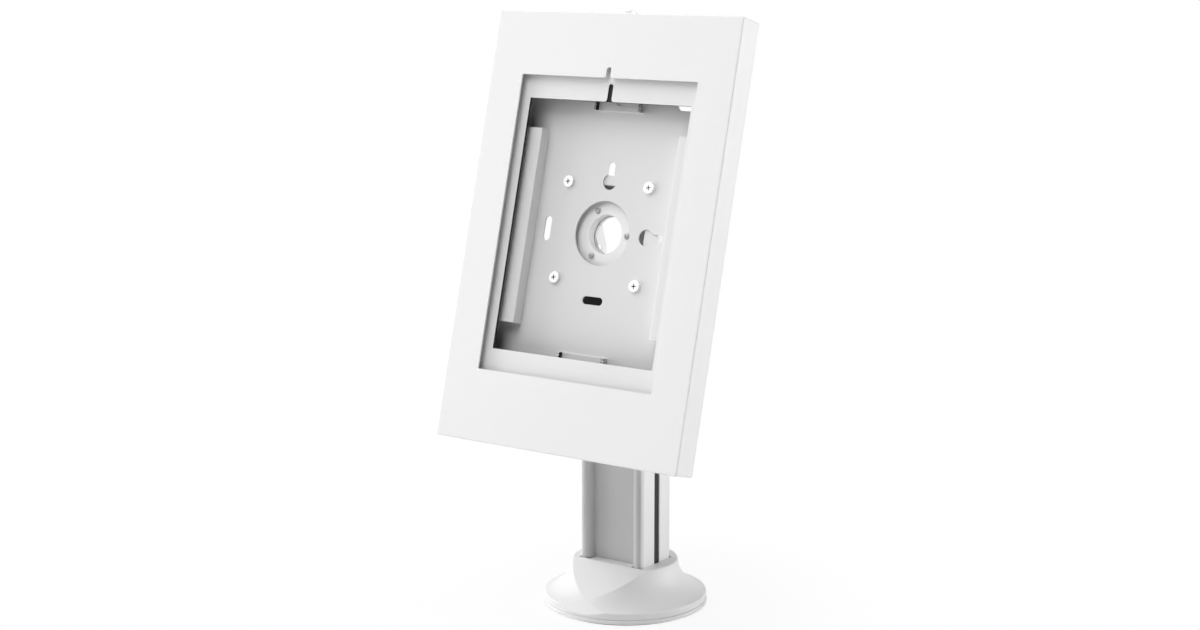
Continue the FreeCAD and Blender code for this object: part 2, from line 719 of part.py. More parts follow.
def make_tilt_yoke():
    """Tilting bracket: flat face, two tapered ears with windows, and the boss that the enclosure turns on."""
    body = new_plate_body("tilt_yoke")
    outer = "(yoke_ear_face + bracket_thickness)"
    corners = [("yoke_top", YOKE_BACK), ("yoke_top", YOKE_FRONT), ("-yoke_bottom", YOKE_FRONT),
               ("-yoke_bottom", YOKE_BACK), ("-pivot_drop - pivot_reach / 2.6", YOKE_BACK)]
    extrude(body, "YZ_Plane", "-" + outer, outer, lug, corners, "-pivot_drop", "-pivot_reach",
            "yoke_ear_radius")
    cut(body, "YZ_Plane", "-yoke_ear_face", "yoke_ear_face", rectangle,
        "-2 * pivot_reach", "-2 * pivot_reach", "2 * pivot_reach", YOKE_BACK)
    cut_through(body, "YZ_Plane", circle, "-pivot_drop", "-pivot_reach", "pivot_bore / 2")
    foot = "-pivot_drop + yoke_ear_radius - window_foot"
    rail = "(%s - window_inset)" % YOKE_BACK
    cut_through(body, "YZ_Plane", outline, [(foot, rail), (foot, rail + " - window_depth"),
                                           (foot + " + window_rise", rail)])
    extrude(body, "XY_Plane", YOKE_FRONT, RING_BACK, circle, "0", "0", "boss_radius")
    cut_through(body, "XY_Plane", circle, "0", "0", "hub_bore / 2")
    cut(body, "XY_Plane", YOKE_FRONT, RING_BACK, circle, "0", "0", "counter_bore / 2")
    hole = cut(body, "XY_Plane", YOKE_BACK, RING_BACK, circle, "ring_screw_circle / 2", "0",
               "ring_screw / 2 + screw_gap")
    polar(body, hole, 3)


def make_clamp_ring():
    """Ring on the boss that traps the enclosure's plate."""
    body = new_plate_body("clamp_ring")
    extrude(body, "XY_Plane", RING_BACK, "-ring_face_depth", ring, "0", "0", RING_RADIUS, "counter_bore / 2")
    hole = cut_through(body, "XY_Plane", circle, "ring_screw_circle / 2", "0", "ring_screw / 2 + screw_gap")
    polar(body, hole, 3)


def make_ring_screws():
    """Three small pan-head screws through the clamp ring into the boss."""
    body = new_plate_body("ring_screws")
    shank = extrude(body, "XY_Plane", YOKE_BACK, "-ring_face_depth", circle,
                    "ring_screw_circle / 2", "0", "ring_screw / 2")
    polar(body, shank, 3)
    head = extrude(body, "XY_Plane", "-ring_face_depth", "-ring_face_depth + ring_head_height", circle,
                   "ring_screw_circle / 2", "0", "ring_head_radius")
    polar(body, head, 3)


def make_friction_discs():
    """Thin friction discs before and behind the trapped rim of the mount plate."""
    inner = "boss_radius + turn_gap"
    front = "(%s - face_gap)" % RING_BACK
    back = "(%s - face_gap)" % FLOOR_BACK
    for label, start, outer in (("friction_disc_front", front, RING_RADIUS),
                                ("friction_disc_rear", back, DISC_OUTER)):
        body = new_plate_body(label)
        extrude(body, "XY_Plane", "%s - friction_thickness" % start, start, ring, "0", "0", outer, inner)


def make_vesa_plate():
    """Pressed mounting plate with a square well whose floor turns between the friction discs."""
    body = new_plate_body("vesa_plate")
    extrude(body, "XY_Plane", MOUNT_BACK, PLATE_BACK, centred, "mount_plate_width", "mount_plate_height")
    normal = FreeCAD.Vector(0, 0, 1)
    fillet(body, lambda edge: straight_along(edge, normal), "mount_corner")
    extrude(body, "XY_Plane", FLOOR_BACK, PLATE_BACK, rounded_square, WELL_OUTER,
            "(well_corner + mount_plate_thickness)")
    cut(body, "XY_Plane", FLOOR_FRONT, PLATE_BACK, rounded_square, "well_width", "well_corner")
    cut_through(body, "XY_Plane", circle, "0", "0", "boss_radius + turn_gap")
    hole = cut_through(body, "XY_Plane", circle, "-mount_pitch / 2", "-mount_pitch / 2", "mount_screw / 2")
    grid(body, hole, "mount_pitch", "mount_pitch")


def make_rear_tray():
    """Back plate of the enclosure with its rim, hub hole, keyholes, slots and the notch for the lock."""
    body = new_plate_body("rear_tray")
    rim = ["-" + TRAY_HALF_WIDTH, "-" + TRAY_BOTTOM, TRAY_HALF_WIDTH, TRAY_TOP]
    inside = ["-(%s - sheet_wall)" % TRAY_HALF_WIDTH, "-(%s - sheet_wall)" % TRAY_BOTTOM,
              "%s - sheet_wall" % TRAY_HALF_WIDTH, "%s - sheet_wall" % TRAY_TOP]
    extrude(body, "XY_Plane", PLATE_BACK, "tray_flange", rectangle, *rim)
    normal = FreeCAD.Vector(0, 0, 1)
    fillet(body, lambda edge: straight_along(edge, normal), "corner_radius")
    cut(body, "XY_Plane", "0", "tray_flange", rectangle, *inside)
    cut(body, "XY_Plane", "0", "tray_flange", rectangle, "-lock_notch / 2", TRAY_TOP + " - 2 * sheet_wall",
        "lock_notch / 2", TRAY_TOP + " + overcut")
    cut_through(body, "XY_Plane", circle, "0", "0", "hub_hole / 2")
    slot_middle = "((keyhole_offset - keyhole_slot / 2 + keyhole_end) / 2)"
    slot_length = "(keyhole_end - keyhole_offset + keyhole_slot / 2)"
    cut_through(body, "XY_Plane", circle, "0", "keyhole_offset", "keyhole_bore / 2")
    cut_through(body, "XY_Plane", long_hole, "0", slot_middle, slot_length, "keyhole_slot", True)
    cut_through(body, "XY_Plane", circle, "keyhole_offset", "0", "keyhole_bore / 2")
    cut_through(body, "XY_Plane", long_hole, slot_middle, "0", slot_length, "keyhole_slot", False)
    cut_through(body, "XY_Plane", long_hole, "-side_slot_offset", "0", "side_slot_length",
                "side_slot_width", True)
    cut_through(body, "XY_Plane", long_hole, "0", "-side_slot_offset", "side_slot_length",
                "side_slot_width", False)
    cut_through(body, "XY_Plane", long_hole, "cable_slot_across", "cable_slot_up", "cable_slot_length",
                "cable_slot_width", False)
    hole = cut_through(body, "XY_Plane", circle, "-mount_pitch / 2", "-mount_pitch / 2",
                       "mount_screw / 2 + screw_gap")
    grid(body, hole, "mount_pitch", "mount_pitch")


def make_vesa_screws():
    """Four pan-head screws that hold the back plate to the mount plate."""
    body = new_plate_body("vesa_screws")
    shank = extrude(body, "XY_Plane", MOUNT_BACK, "0", circle, "-mount_pitch / 2", "-mount_pitch / 2",
                    "mount_screw / 2 - screw_gap / 4")
    grid(body, shank, "mount_pitch", "mount_pitch")
    head = extrude(body, "XY_Plane", "0", "mount_head_height", circle, "-mount_pitch / 2",
                   "-mount_pitch / 2", "mount_head_radius")
    grid(body, head, "mount_pitch", "mount_pitch")


def make_channels():
    """Open channels left and right of the middle whose flanges carry the tablet's back."""
    wall = "(channel_face + sheet_wall)"
    flange = "(channel_face + channel_flange)"
    foot = "(channel_face + channel_foot)"
    under = "(channel_height - sheet_wall)"
    points = [("channel_face", "0"), (foot, "0"), (foot, "sheet_wall"), (wall, "sheet_wall"),
              (wall, under), (flange, under), (flange, "channel_height"), ("channel_face", "channel_height")]
    for side, label in ((-1, "channel_left"), (1, "channel_right")):
        body = new_plate_body(label)
        extrude(body, "XZ_Plane", "-channel_length / 2", "channel_length / 2", outline,
                [("%d * %s" % (side, x), y) for x, y in points])


def make_end_stops():
    """Small brackets above and below the middle: base web, two low ears and a lip at the tablet's end."""
    half = "stop_width / 2"
    ear = "(stop_width / 2 - stop_ear_thickness)"
    for side, label in ((1, "top_bracket"), (-1, "bottom_bracket")):
        body = new_plate_body(label)
        near, far, lip, tip = [("%d * %s" % (side, value)) for value in
                               ("stop_start", "stop_end", "(stop_end - sheet_wall)", "stop_ear_end")]
        if side < 0:
            near, far = far, near
        extrude(body, "XY_Plane", "0", "sheet_wall", rectangle, "-" + half, near, half, far)
        for left, right in (("-" + half, "-" + ear), (ear, half)):
            extrude(body, "XY_Plane", "sheet_wall", "stop_ear_height", rectangle,
                    left, "%d * stop_start" % side, right, tip)
        extrude(body, "XY_Plane", "sheet_wall", "stop_lip_height", rectangle, "-" + half, lip, half,
                "%d * stop_end" % side)
        cut_through(body, "XY_Plane", circle, "0", "%d * (stop_start + stop_hole)" % side, "stop_hole / 2")


def make_lock_keeper():
    """Bent bracket on the tray whose lip the lock's cam turns under."""
    body = new_plate_body("lock_keeper")
    riser = "cam_reach + keeper_step"
    top = "(keeper_face + sheet_wall)"
    points = [("keeper_edge", "keeper_face"), (riser, "keeper_face"), (riser, "0"), ("keeper_foot", "0"),
              ("keeper_foot", "sheet_wall"), (riser + " + sheet_wall", "sheet_wall"),
              (riser + " + sheet_wall", top), ("keeper_edge", top)]
    stop = "%s - keeper_set" % LOCK_FOOT
    extrude(body, "XZ_Plane", stop + " - keeper_length", stop, outline, points)


def make_front_cover():
    """Folded front cover with the screen window, the camera slot and the hole for the lock."""
    body = new_plate_body("front_cover")
    half = "cover_width / 2"
    extrude(body, "XY_Plane", "cover_back", "cover_front", rectangle, "-" + half, "-cover_below", half,
            "cover_above")
    normal = FreeCAD.Vector(0, 0, 1)
    fillet(body, lambda edge: straight_along(edge, normal), "corner_radius")
    front = number("cover_front")
    fillet(body, lambda edge: abs(edge.BoundBox.ZMin - front) < 0.01, "front_edge")
    cut(body, "XY_Plane", "cover_back", COVER_INNER_FACE, rectangle, "-(cover_width / 2 - sheet_wall)",
        "-(cover_below - sheet_wall)", "cover_width / 2 - sheet_wall", "cover_above - sheet_wall")
    cut_through(body, "XY_Plane", centred, "window_width", "window_height")
    camera_slot(body, "window_height", "camera_slot_top")
    cut(body, "XZ_Plane", "cover_above - 2 * sheet_wall", "cover_above + overcut", circle, "0", "lock_depth",
        "lock_body_radius + screw_gap")


def camera_slot(body, height, top):
    """Narrow round-ended slot that opens into the top of a window."""
    low = "(%s / 2 - camera_slot)" % height
    cut_through(body, "XY_Plane", long_hole, "0", "((%s + %s) / 2)" % (low, top),
                "(%s - %s)" % (top, low), "camera_slot", True)


def make_inner_frame():
    """Thin mask behind the front window, with the smaller window over the tablet's screen."""
    body = new_plate_body("inner_frame")
    extrude(body, "XY_Plane", FRAME_BACK, "frame_face", centred, "frame_width", "frame_height")
    cut_through(body, "XY_Plane", centred, "frame_window_width", "frame_window_height")
    camera_slot(body, "frame_window_height", "frame_slot_top")
    hole = cut_through(body, "XY_Plane", circle, STUD_X, STUD_Y, "stud_size / 2 + screw_gap")
    grid(body, hole, "frame_stud_across", "frame_stud_along")


def make_frame_fixings():
    """Studs, spacers and nuts that hold the mask behind the front cover."""
    studs = new_plate_body("frame_studs")
    stud = extrude(studs, "XY_Plane", "%s - nut_height - stud_tail" % FRAME_BACK, COVER_INNER_FACE, circle,
                   STUD_X, STUD_Y, "stud_size / 2")
    grid(studs, stud, "frame_stud_across", "frame_stud_along")
    spacers = new_plate_body("frame_spacers")
    spacer = extrude(spacers, "XY_Plane", "frame_face", COVER_INNER_FACE, ring,
                     STUD_X, STUD_Y, "stud_size / 2 + spacer_wall", "stud_size / 2 + screw_gap / 4")
    grid(spacers, spacer, "frame_stud_across", "frame_stud_along")
    nuts = new_plate_body("frame_nuts")
    nut = extrude(nuts, "XY_Plane", "%s - nut_height" % FRAME_BACK, FRAME_BACK, hexagon,
                  STUD_X, STUD_Y, "nut_across")
    grid(nuts, nut, "frame_stud_across", "frame_stud_along")
    bore = cut_through(nuts, "XY_Plane", circle, STUD_X, STUD_Y, "stud_size / 2 + screw_gap / 4")
    grid(nuts, bore, "frame_stud_across", "frame_stud_along")


def make_lock_barrel():
    """Fixed body of the lock, through the top wall of the cover."""
    body = new_plate_body("lock_barrel")
    crown = "cover_above + lock_head_height"
    extrude(body, "XZ_Plane", LOCK_FOOT, "cover_above", circle, "0", "lock_depth", "lock_body_radius")
    extrude(body, "XZ_Plane", "cover_above", crown, circle, "0", "lock_depth", "lock_head_radius")
    top = number(crown)
    fillet(body, lambda edge: abs(edge.BoundBox.YMin - top) < 0.01, "lock_head_edge")
    cut_through(body, "XZ_Plane", circle, "0", "lock_depth", "lock_bore / 2")


def make_lock_plug():
    """Turning plug of the lock, with its key slot."""
    body = new_plate_body("lock_plug")
    face = "(cover_above + lock_head_height - plug_recess)"
    extrude(body, "XZ_Plane", CAM_TOP, face, circle, "0", "lock_depth", "lock_bore / 2 - plug_gap")
    cut(body, "XZ_Plane", face + " - key_depth", face, rectangle, "-key_slot / 2",
        "lock_depth - lock_bore / 2 + key_inset", "key_slot / 2", "lock_depth + lock_bore / 2 - key_inset")
    cut(body, "XZ_Plane", CAM_TOP, CAM_TOP + " + cam_screw_depth", circle, "0", "lock_depth",
        "cam_screw / 2 + plug_gap")


def make_lock_nut():
    """Hexagon nut that holds the lock to the top wall."""
    body = new_plate_body("lock_nut")
    extrude(body, "XZ_Plane", "cover_above - sheet_wall - lock_nut_height", "cover_above - sheet_wall",
            hexagon, "0", "lock_depth", "lock_nut_across")
    cut_through(body, "XZ_Plane", circle, "0", "lock_depth", "lock_body_radius + plug_gap")


def make_lock_cam():
    """Cam plate on the plug; at rest it points to the back plate, locked it lies under the keeper."""
    body = new_plate_body("lock_cam")
    extrude(body, "XZ_Plane", CAM_FOOT, CAM_TOP, circle, "0", "lock_depth", "cam_width / 2")
    extrude(body, "XZ_Plane", CAM_FOOT, CAM_TOP, rectangle, "-cam_width / 2", "lock_depth - cam_reach",
            "cam_width / 2", "lock_depth")
    cut_through(body, "XZ_Plane", circle, "0", "lock_depth", "cam_screw / 2 + plug_gap")


def make_cam_screw():
    """Screw that holds the cam to the plug."""
    body = new_plate_body("cam_screw")
    tip = CAM_TOP + " + cam_screw_depth - cam_screw_play"
    extrude(body, "XZ_Plane", CAM_FOOT, tip, circle, "0", "lock_depth", "cam_screw / 2")
    extrude(body, "XZ_Plane", CAM_FOOT + " - cam_head_height", CAM_FOOT, circle, "0", "lock_depth",
            "cam_screw")


make_base_pad()
make_base_disc()
make_column_base_screws()
make_base_cover()
make_column()
make_slot_strips()
make_column_cap()
make_head_bracket()
make_head_screws()
make_pivot_bolts()
make_pivot_washers()
make_tilt_yoke()
make_clamp_ring()
make_ring_screws()
make_friction_discs()
make_vesa_plate()
make_rear_tray()
make_vesa_screws()
make_channels()
make_end_stops()
make_lock_keeper()
make_front_cover()
make_inner_frame()
make_frame_fixings()
make_lock_barrel()
make_lock_plug()
make_lock_nut()
make_lock_cam()
make_cam_screw()
doc.recompute()

for item in doc.Objects:
    faults = [state for state in item.State if state in ("Invalid", "Error")]
    if faults:
        raise RuntimeError("%s failed: %s" % (item.Name, faults))
for body in SUBPARTS:
    if body.Shape.isNull() or not body.Shape.isValid():
        raise RuntimeError("%s has no sound shape" % body.Label)

os.makedirs("parts", exist_ok=True)
for body in SUBPARTS:
    body.Shape.exportStep("parts/%s.step" % body.Label)
    print(body.Label, len(body.Shape.Solids), round(body.Shape.Volume, 1))
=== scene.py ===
"""Looks of the tabletop tablet holder: enclosure, tilting head, column and bolt-down base."""

import math
from types import SimpleNamespace

import bmesh
import bpy
from mathutils import Matrix, Vector


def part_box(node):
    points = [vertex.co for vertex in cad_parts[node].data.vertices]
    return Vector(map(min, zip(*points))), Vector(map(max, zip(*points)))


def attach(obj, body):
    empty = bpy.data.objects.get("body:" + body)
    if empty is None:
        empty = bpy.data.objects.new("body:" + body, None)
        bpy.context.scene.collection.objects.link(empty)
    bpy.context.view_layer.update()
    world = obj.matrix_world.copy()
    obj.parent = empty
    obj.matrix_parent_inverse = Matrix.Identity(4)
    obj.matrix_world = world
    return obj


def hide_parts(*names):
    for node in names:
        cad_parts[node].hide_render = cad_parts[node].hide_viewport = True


bl_info = {
    "name": "Tabletop tablet holder",
    "version": (1, 0, 0),
    "blender": (4, 5, 0),
    "location": "View3D > Sidebar > Tablet holder",
    "description": "Builds a lockable tablet enclosure on a tilting head, a column and a bolt-down base",
    "category": "Add Mesh",
}

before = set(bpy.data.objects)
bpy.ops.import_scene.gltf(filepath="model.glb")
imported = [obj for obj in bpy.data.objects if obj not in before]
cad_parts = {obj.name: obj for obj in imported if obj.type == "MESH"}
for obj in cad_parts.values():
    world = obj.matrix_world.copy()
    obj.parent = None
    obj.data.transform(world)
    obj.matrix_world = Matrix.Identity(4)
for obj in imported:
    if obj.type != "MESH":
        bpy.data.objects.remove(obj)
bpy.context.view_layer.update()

MM = 0.001
UPRIGHT = Matrix.Scale(MM, 4)


# Sizes and colours that a user would change

def distance(name, text, size):
    """A length property, given in millimetres."""
    return bpy.props.FloatProperty(name=name, description=text, default=size * MM, precision=4,
                                   unit="LENGTH", subtype="DISTANCE")


def colour(name, text, value):
    """A colour property without alpha."""
    return bpy.props.FloatVectorProperty(name=name, description=text, default=value, size=3, min=0.0,
                                         max=1.0, subtype="COLOR")


def span(node, axis):
    """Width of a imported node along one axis, in millimetres."""
    low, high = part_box(node)
    return (high[axis] - low[axis]) / MM


class TabletEnclosureSizes(bpy.types.PropertyGroup):
    cover_width: distance("Cover width", "Width of the front cover", span("front_cover", 0))
    cover_above: distance("Cover above the hub", "From the hub's axis to the top edge", 165.7)
    cover_below: distance("Cover below the hub", "From the hub's axis to the bottom edge", 171.5)
    cover_front: distance("Cover front", "From the back plate's face to the front face", 23.0)
    cover_back: distance("Cover back", "From the back plate's face to the cover's back edge", 1.0)
    sheet: distance("Sheet", "Thickness of the folded sheet", 1.5)
    cover_fit: distance("Cover fit", "Gap between the cover and the back plate's rim", 0.6)
    corner: distance("Corner", "Radius of the cover's four corners", 2.0)
    fold: distance("Fold", "Outer radius of the fold round the front face", 1.1)
    window_width: distance("Window width", "Width of the screen window", 162.0)
    window_height: distance("Window height", "Height of the screen window", 231.5)
    slot_width: distance("Camera slot", "Width of the slot above each window", 4.0)
    slot_top: distance("Camera slot top", "Top of the slot in the cover", 124.0)
    mask_width: distance("Mask width", "Width of the inner mask", 200.0)
    mask_height: distance("Mask height", "Height of the inner mask", 284.0)
    mask_face: distance("Mask face", "From the back plate's face to the mask's face", 17.0)
    mask_sheet: distance("Mask sheet", "Thickness of the mask", 1.2)
    lining: distance("Mask lining", "Thickness of the black foam behind the mask", 1.0)
    mask_window_width: distance("Mask window width", "Width of the mask's window", 149.0)
    mask_window_height: distance("Mask window height", "Height of the mask's window", 197.0)
    mask_slot_top: distance("Mask slot top", "Top of the slot in the mask", 112.3)
    tray_rim: distance("Tray rim", "Height of the back plate's rim", 8.0)
    channel_face: distance("Channel face", "From the middle to a side support", 63.5)
    channel_height: distance("Channel height", "Height of a side support", 10.5)
    channel_length: distance("Channel length", "Length of a side support", 153.0)
    stop_width: distance("End stop width", "Width of an end stop", 43.0)
    stop_start: distance("End stop start", "From the hub's axis to an end stop", 94.0)
    stop_end: distance("End stop end", "From the hub's axis to an end stop's lip", 121.5)


class TabletHeadSizes(bpy.types.PropertyGroup):
    pivot_height: distance("Pivot height", "Height of the tilt axis", 282.8)
    pivot_drop: distance("Pivot drop", "From the tilt axis up to the hub's axis", 9.0)
    pivot_reach: distance("Pivot reach", "From the tilt axis to the back plate", 35.8)
    rest_tilt: bpy.props.FloatProperty(name="Rest tilt", description="Backward tilt of the screen at rest",
                                       default=math.radians(14.8), subtype="ANGLE")
    metal: distance("Bracket metal", "Thickness of both brackets", 3.0)
    yoke_face: distance("Yoke face", "Inner face of the tilting bracket's ears", 25.6)
    ear_gap: distance("Ear gap", "Gap between the ears of the two brackets", 0.7)
    yoke_ear: distance("Yoke ear", "End radius of the tilting bracket's ears", 9.7)
    head_ear: distance("Head ear", "End radius of the fixed bracket's ears", 9.5)
    bend: distance("Bend", "Inner radius of the brackets' bends", 1.5)
    bore: distance("Hub bore", "Radius of the cable bore", 15.0)
    boss: distance("Boss", "Radius of the boss that the enclosure turns on", 22.0)
    ring: distance("Clamp ring", "Radius of the ring that holds the enclosure on the boss", 27.5)
    ring_face: distance("Ring face", "Front face of the clamp ring, from the back plate's face", -4.6)
    well: distance("Well", "Width of the square well in the mounting plate", 74.0)
    well_corner: distance("Well corner", "Radius of the well's corners", 14.0)


class TabletColumnSizes(bpy.types.PropertyGroup):
    width: distance("Column width", "Width of the extrusion", 60.0)
    depth: distance("Column depth", "Depth of the extrusion", 42.4)
    top: distance("Column top", "Height of the extrusion's top end", 248.0)
    rail: distance("Rail", "Width of a rounded rail", 10.0)
    recess: distance("Recess", "Depth of the face between the rails", 8.0)
    slot: distance("Slot", "Width of the side slots", 7.0)


class TabletBaseSizes(bpy.types.PropertyGroup):
    radius: distance("Cover radius", "Radius of the bell-shaped cover", 64.5)
    disc: distance("Disc radius", "Radius of the steel disc", 65.0)
    pad: distance("Pad radius", "Radius of the rubber pad", 61.0)
    rim: distance("Rim height", "Height of the cover's rim", 10.5)
    neck: distance("Neck radius", "Radius of the cover's neck", 41.8)
    height: distance("Cover height", "Height of the cover's top", 37.0)
    curve: distance("Curve", "Radius of the hollow curve", 28.2)
    wall: distance("Wall", "Thickness of the cover's wall", 2.5)
    bolt_circle: distance("Bolt circle", "Diameter through the table bolts", 108.0)


class TabletColours(bpy.types.PropertyGroup):
    coat: colour("White coat", "Powder coat of the cover and the head", (0.85, 0.85, 0.85))
    inner: colour("Inner coat", "Coat of the mask and the side supports", (0.82, 0.82, 0.82))
    # Painted shade: the tray coat is the white coat made darker to stand for the shade inside the enclosure.
    tray: colour("Tray coat", "Coat of the back plate, mounting plate and end stops", (0.74, 0.74, 0.74))
    column: colour("Column", "Anodised column", (0.78, 0.78, 0.78))
    # Dull steel is the ring screws' own colour; on the upper end stop's ears it is painted shade.
    dull: colour("Dull steel", "Screws of the clamp ring and ears of the upper end stop", (0.42, 0.42, 0.43))
    # Painted shade: this darker grey covers the column's front and back faces, rail fronts included, to stand
    # for the shade there; the sides keep the column colour.
    recess: colour("Column recess", "Duller face between the column's rails", (0.56, 0.56, 0.56))
    base: colour("Base cover", "Base cover and the disc under it", (0.81, 0.81, 0.81))
    zinc: colour("Zinc", "Plated screws, nuts and bolts", (0.72, 0.72, 0.73))
    screw: colour("Screws", "Bright screws of the back plate", (0.9, 0.9, 0.9))
    chrome: colour("Chrome", "Lock", (0.82, 0.82, 0.83))
    # Black plastic is also painted onto the mask's window edges and into the screws' cross recesses as shade.
    black: colour("Black plastic", "Cap, slot strips and grip strips", (0.018, 0.018, 0.019))
    rubber: colour("Rubber", "Pad under the base", (0.03, 0.03, 0.03))
    nylon: colour("Nylon", "Washers and spacers", (0.78, 0.77, 0.73))


def in_millimetres(group):
    """The lengths of a property group in millimetres, and its other numbers as they are."""
    result = {}
    for key, prop in group.bl_rna.properties.items():
        if prop.type == "FLOAT" and not prop.is_array:
            value = getattr(group, key)
            result[key] = value / MM if prop.unit == "LENGTH" else value
    return SimpleNamespace(**result)


def sizes(context):
    """All sizes in millimetres, by group."""
    scene = context.scene
    return (in_millimetres(scene.tablet_enclosure), in_millimetres(scene.tablet_head),
            in_millimetres(scene.tablet_column), in_millimetres(scene.tablet_base))


# Frames of reference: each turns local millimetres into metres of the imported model

def turned_frame(x_axis, y_axis, z_axis, origin=(0, 0, 0)):
    """Placement from three axes and an origin in millimetres."""
    rows = [[x_axis[i], y_axis[i], z_axis[i], origin[i]] for i in range(3)]
    return UPRIGHT @ Matrix(rows + [[0, 0, 0, 1]])


LOCAL = Matrix.Identity(4)
SIDEWAYS = turned_frame((0, 1, 0), (0, 0, 1), (1, 0, 0))
ACROSS = turned_frame((1, 0, 0), (0, 0, 1), (0, -1, 0))


def plate_axes(head):
    """Across, up and out of the tilted back plate, and its origin on the hub's axis."""
    sine, cosine = math.sin(head.rest_tilt), math.cos(head.rest_tilt)
    up, out = (0, sine, cosine), (0, -cosine, sine)
    origin = (0, head.pivot_drop * sine - head.pivot_reach * cosine,
              head.pivot_height + head.pivot_drop * cosine + head.pivot_reach * sine)
    return (1, 0, 0), up, out, origin


def plate_frame(head):
    """Local x across, y up the back plate, z out of the screen."""
    across, up, out, origin = plate_axes(head)
    return turned_frame(across, up, out, origin)


def side_frame(head):
    """Local x up the back plate, y out of the screen, z across: for shapes drawn from the side."""
    across, up, out, origin = plate_axes(head)
    return turned_frame(up, out, across, origin)


def end_frame(head):
    """Local x out of the screen, y across, z up the back plate: for shapes drawn from the end."""
    across, up, out, origin = plate_axes(head)
    return turned_frame(out, across, up, origin)


# Outlines, counter-clockwise, in millimetres

SAME_POINT = 1e-5


def direction(turn):
    """Unit vector at an angle."""
    return Vector((math.cos(turn), math.sin(turn)))


def arc(centre, radius, first, sweep, count):
    """Points along an arc, from an angle through a sweep."""
    return [(centre[0] + radius * math.cos(first + sweep * k / count),
             centre[1] + radius * math.sin(first + sweep * k / count)) for k in range(count + 1)]


def corners(points, radius, closed=True, step=11.0):
    """Round the corners of an outline; radius is one number, or one for each corner."""
    radii = radius if isinstance(radius, (list, tuple)) else [radius] * len(points)
    result = []
    for index, point in enumerate(points):
        here, size = Vector(point), radii[index]
        if size <= 0 or (not closed and index in (0, len(points) - 1)):
            bend = [here]
        else:
            before = (Vector(points[index - 1]) - here).normalized()
            after = (Vector(points[(index + 1) % len(points)]) - here).normalized()
            half = before.angle(after) / 2
            centre = here + (before + after).normalized() * size / math.sin(half)
            start = here + before * size / math.tan(half) - centre
            end = here + after * size / math.tan(half) - centre
            first = math.atan2(start.y, start.x)
            turn = (math.atan2(end.y, end.x) - first + math.pi) % math.tau - math.pi
            count = max(2, math.ceil(abs(math.degrees(turn)) / step))
            bend = [centre + size * direction(first + turn * k / count) for k in range(count + 1)]
        for item in bend:
            if not result or (item - result[-1]).length > SAME_POINT:
                result.append(item)
    if closed and (result[0] - result[-1]).length <= SAME_POINT:
        result.pop()
    return [tuple(item) for item in result]


def rectangle(left, bottom, right, top, radius=0.0):
    return corners([(left, bottom), (right, bottom), (right, top), (left, top)], radius)


def disc(x, y, radius, count=64):
    return arc((x, y), radius, 0, math.tau, count)[:-1]


def hexagon(x, y, across, edge=0.0):
    return corners(disc(x, y, across / math.sqrt(3), 6), edge)


def four(x, y):
    """The four points at plus and minus x and y."""
    return [(a * x, b * y) for a in (-1, 1) for b in (-1, 1)]


def oblong(x, y, length, width, upright):
    """Slot with round ends; its length is taken over the ends."""
    half_x, half_y = (width / 2, length / 2) if upright else (length / 2, width / 2)
    return rectangle(x - half_x, y - half_y, x + half_x, y + half_y, width / 2 - 1e-4)


def shift(loop, amount):
    """Move a counter-clockwise outline outwards by an amount."""
    result = []
    for index, point in enumerate(loop):
        before, here, after = Vector(loop[index - 1]), Vector(point), Vector(loop[(index + 1) % len(loop)])
        first, second = (here - before).normalized(), (after - here).normalized()
        one, two = Vector((first.y, -first.x)), Vector((second.y, -second.x))
        middle = (one + two).normalized()
        result.append(tuple(here + middle * amount / max(0.4, middle.dot(one))))
    return result


def lug(points, centre, radius):
    """Outline of base points whose last and first run by tangents into a round end."""
    middle, angles = Vector(centre), []
    for corner, turn in ((points[-1], 1), (points[0], -1)):
        away = Vector(corner) - middle
        angles.append(math.atan2(away.y, away.x) + turn * math.acos(radius / away.length))
    sweep = (angles[1] - angles[0]) % math.tau
    nose = [middle + radius * direction(angles[0] + sweep * k / 36) for k in range(37)]
    return points + [tuple(point) for point in nose]


def wound(points):
    """The outline in counter-clockwise order."""
    area = sum(a[0] * b[1] - b[0] * a[1] for a, b in zip(points, points[1:] + points[:1]))
    return list(points) if area > 0 else list(points)[::-1]


# Solids

def ring_of(bm, place, loop, height):
    return [bm.verts.new(place @ Vector((x, y, height))) for x, y in loop]


def skin(bm, rings, wrap=False):
    """Join rings with faces; all have the same count, or are a single point."""
    pairs = list(zip(rings, rings[1:]))
    if wrap:
        pairs.append((rings[-1], rings[0]))
    for low, high in pairs:
        for k in range(max(len(low), len(high))):
            around = ((low, k), (low, k + 1), (high, k + 1), (high, k))
            unique = list(dict.fromkeys(ring[step % len(ring)] for ring, step in around))
            if len(unique) > 2:
                bm.faces.new(unique)


def cap(bm, rings):
    """Fill the flat area between closed rings."""
    edges = []
    for ring in rings:
        for k, vert in enumerate(ring):
            after = ring[(k + 1) % len(ring)]
            edges.append(bm.edges.get((vert, after)) or bm.edges.new((vert, after)))
    bmesh.ops.triangle_fill(bm, use_beauty=True, use_dissolve=False, edges=edges)


def rounding(edge, rows=3):
    """Steps of a quarter round: how far in, and how far along."""
    if edge <= 0:
        return [(0.0, 0.0)]
    turns = [math.pi / 2 * k / rows for k in range(rows + 1)]
    return [(edge * (1 - math.sin(turn)), edge * (1 - math.cos(turn))) for turn in turns]


def steps_of(bm, place, loop, sign, height, way, steps):
    """Rings of a rounded edge: sign is the side the outline moves to, way the direction along z."""
    return [ring_of(bm, place, shift(loop, sign * inset), height + way * rise) for inset, rise in steps]


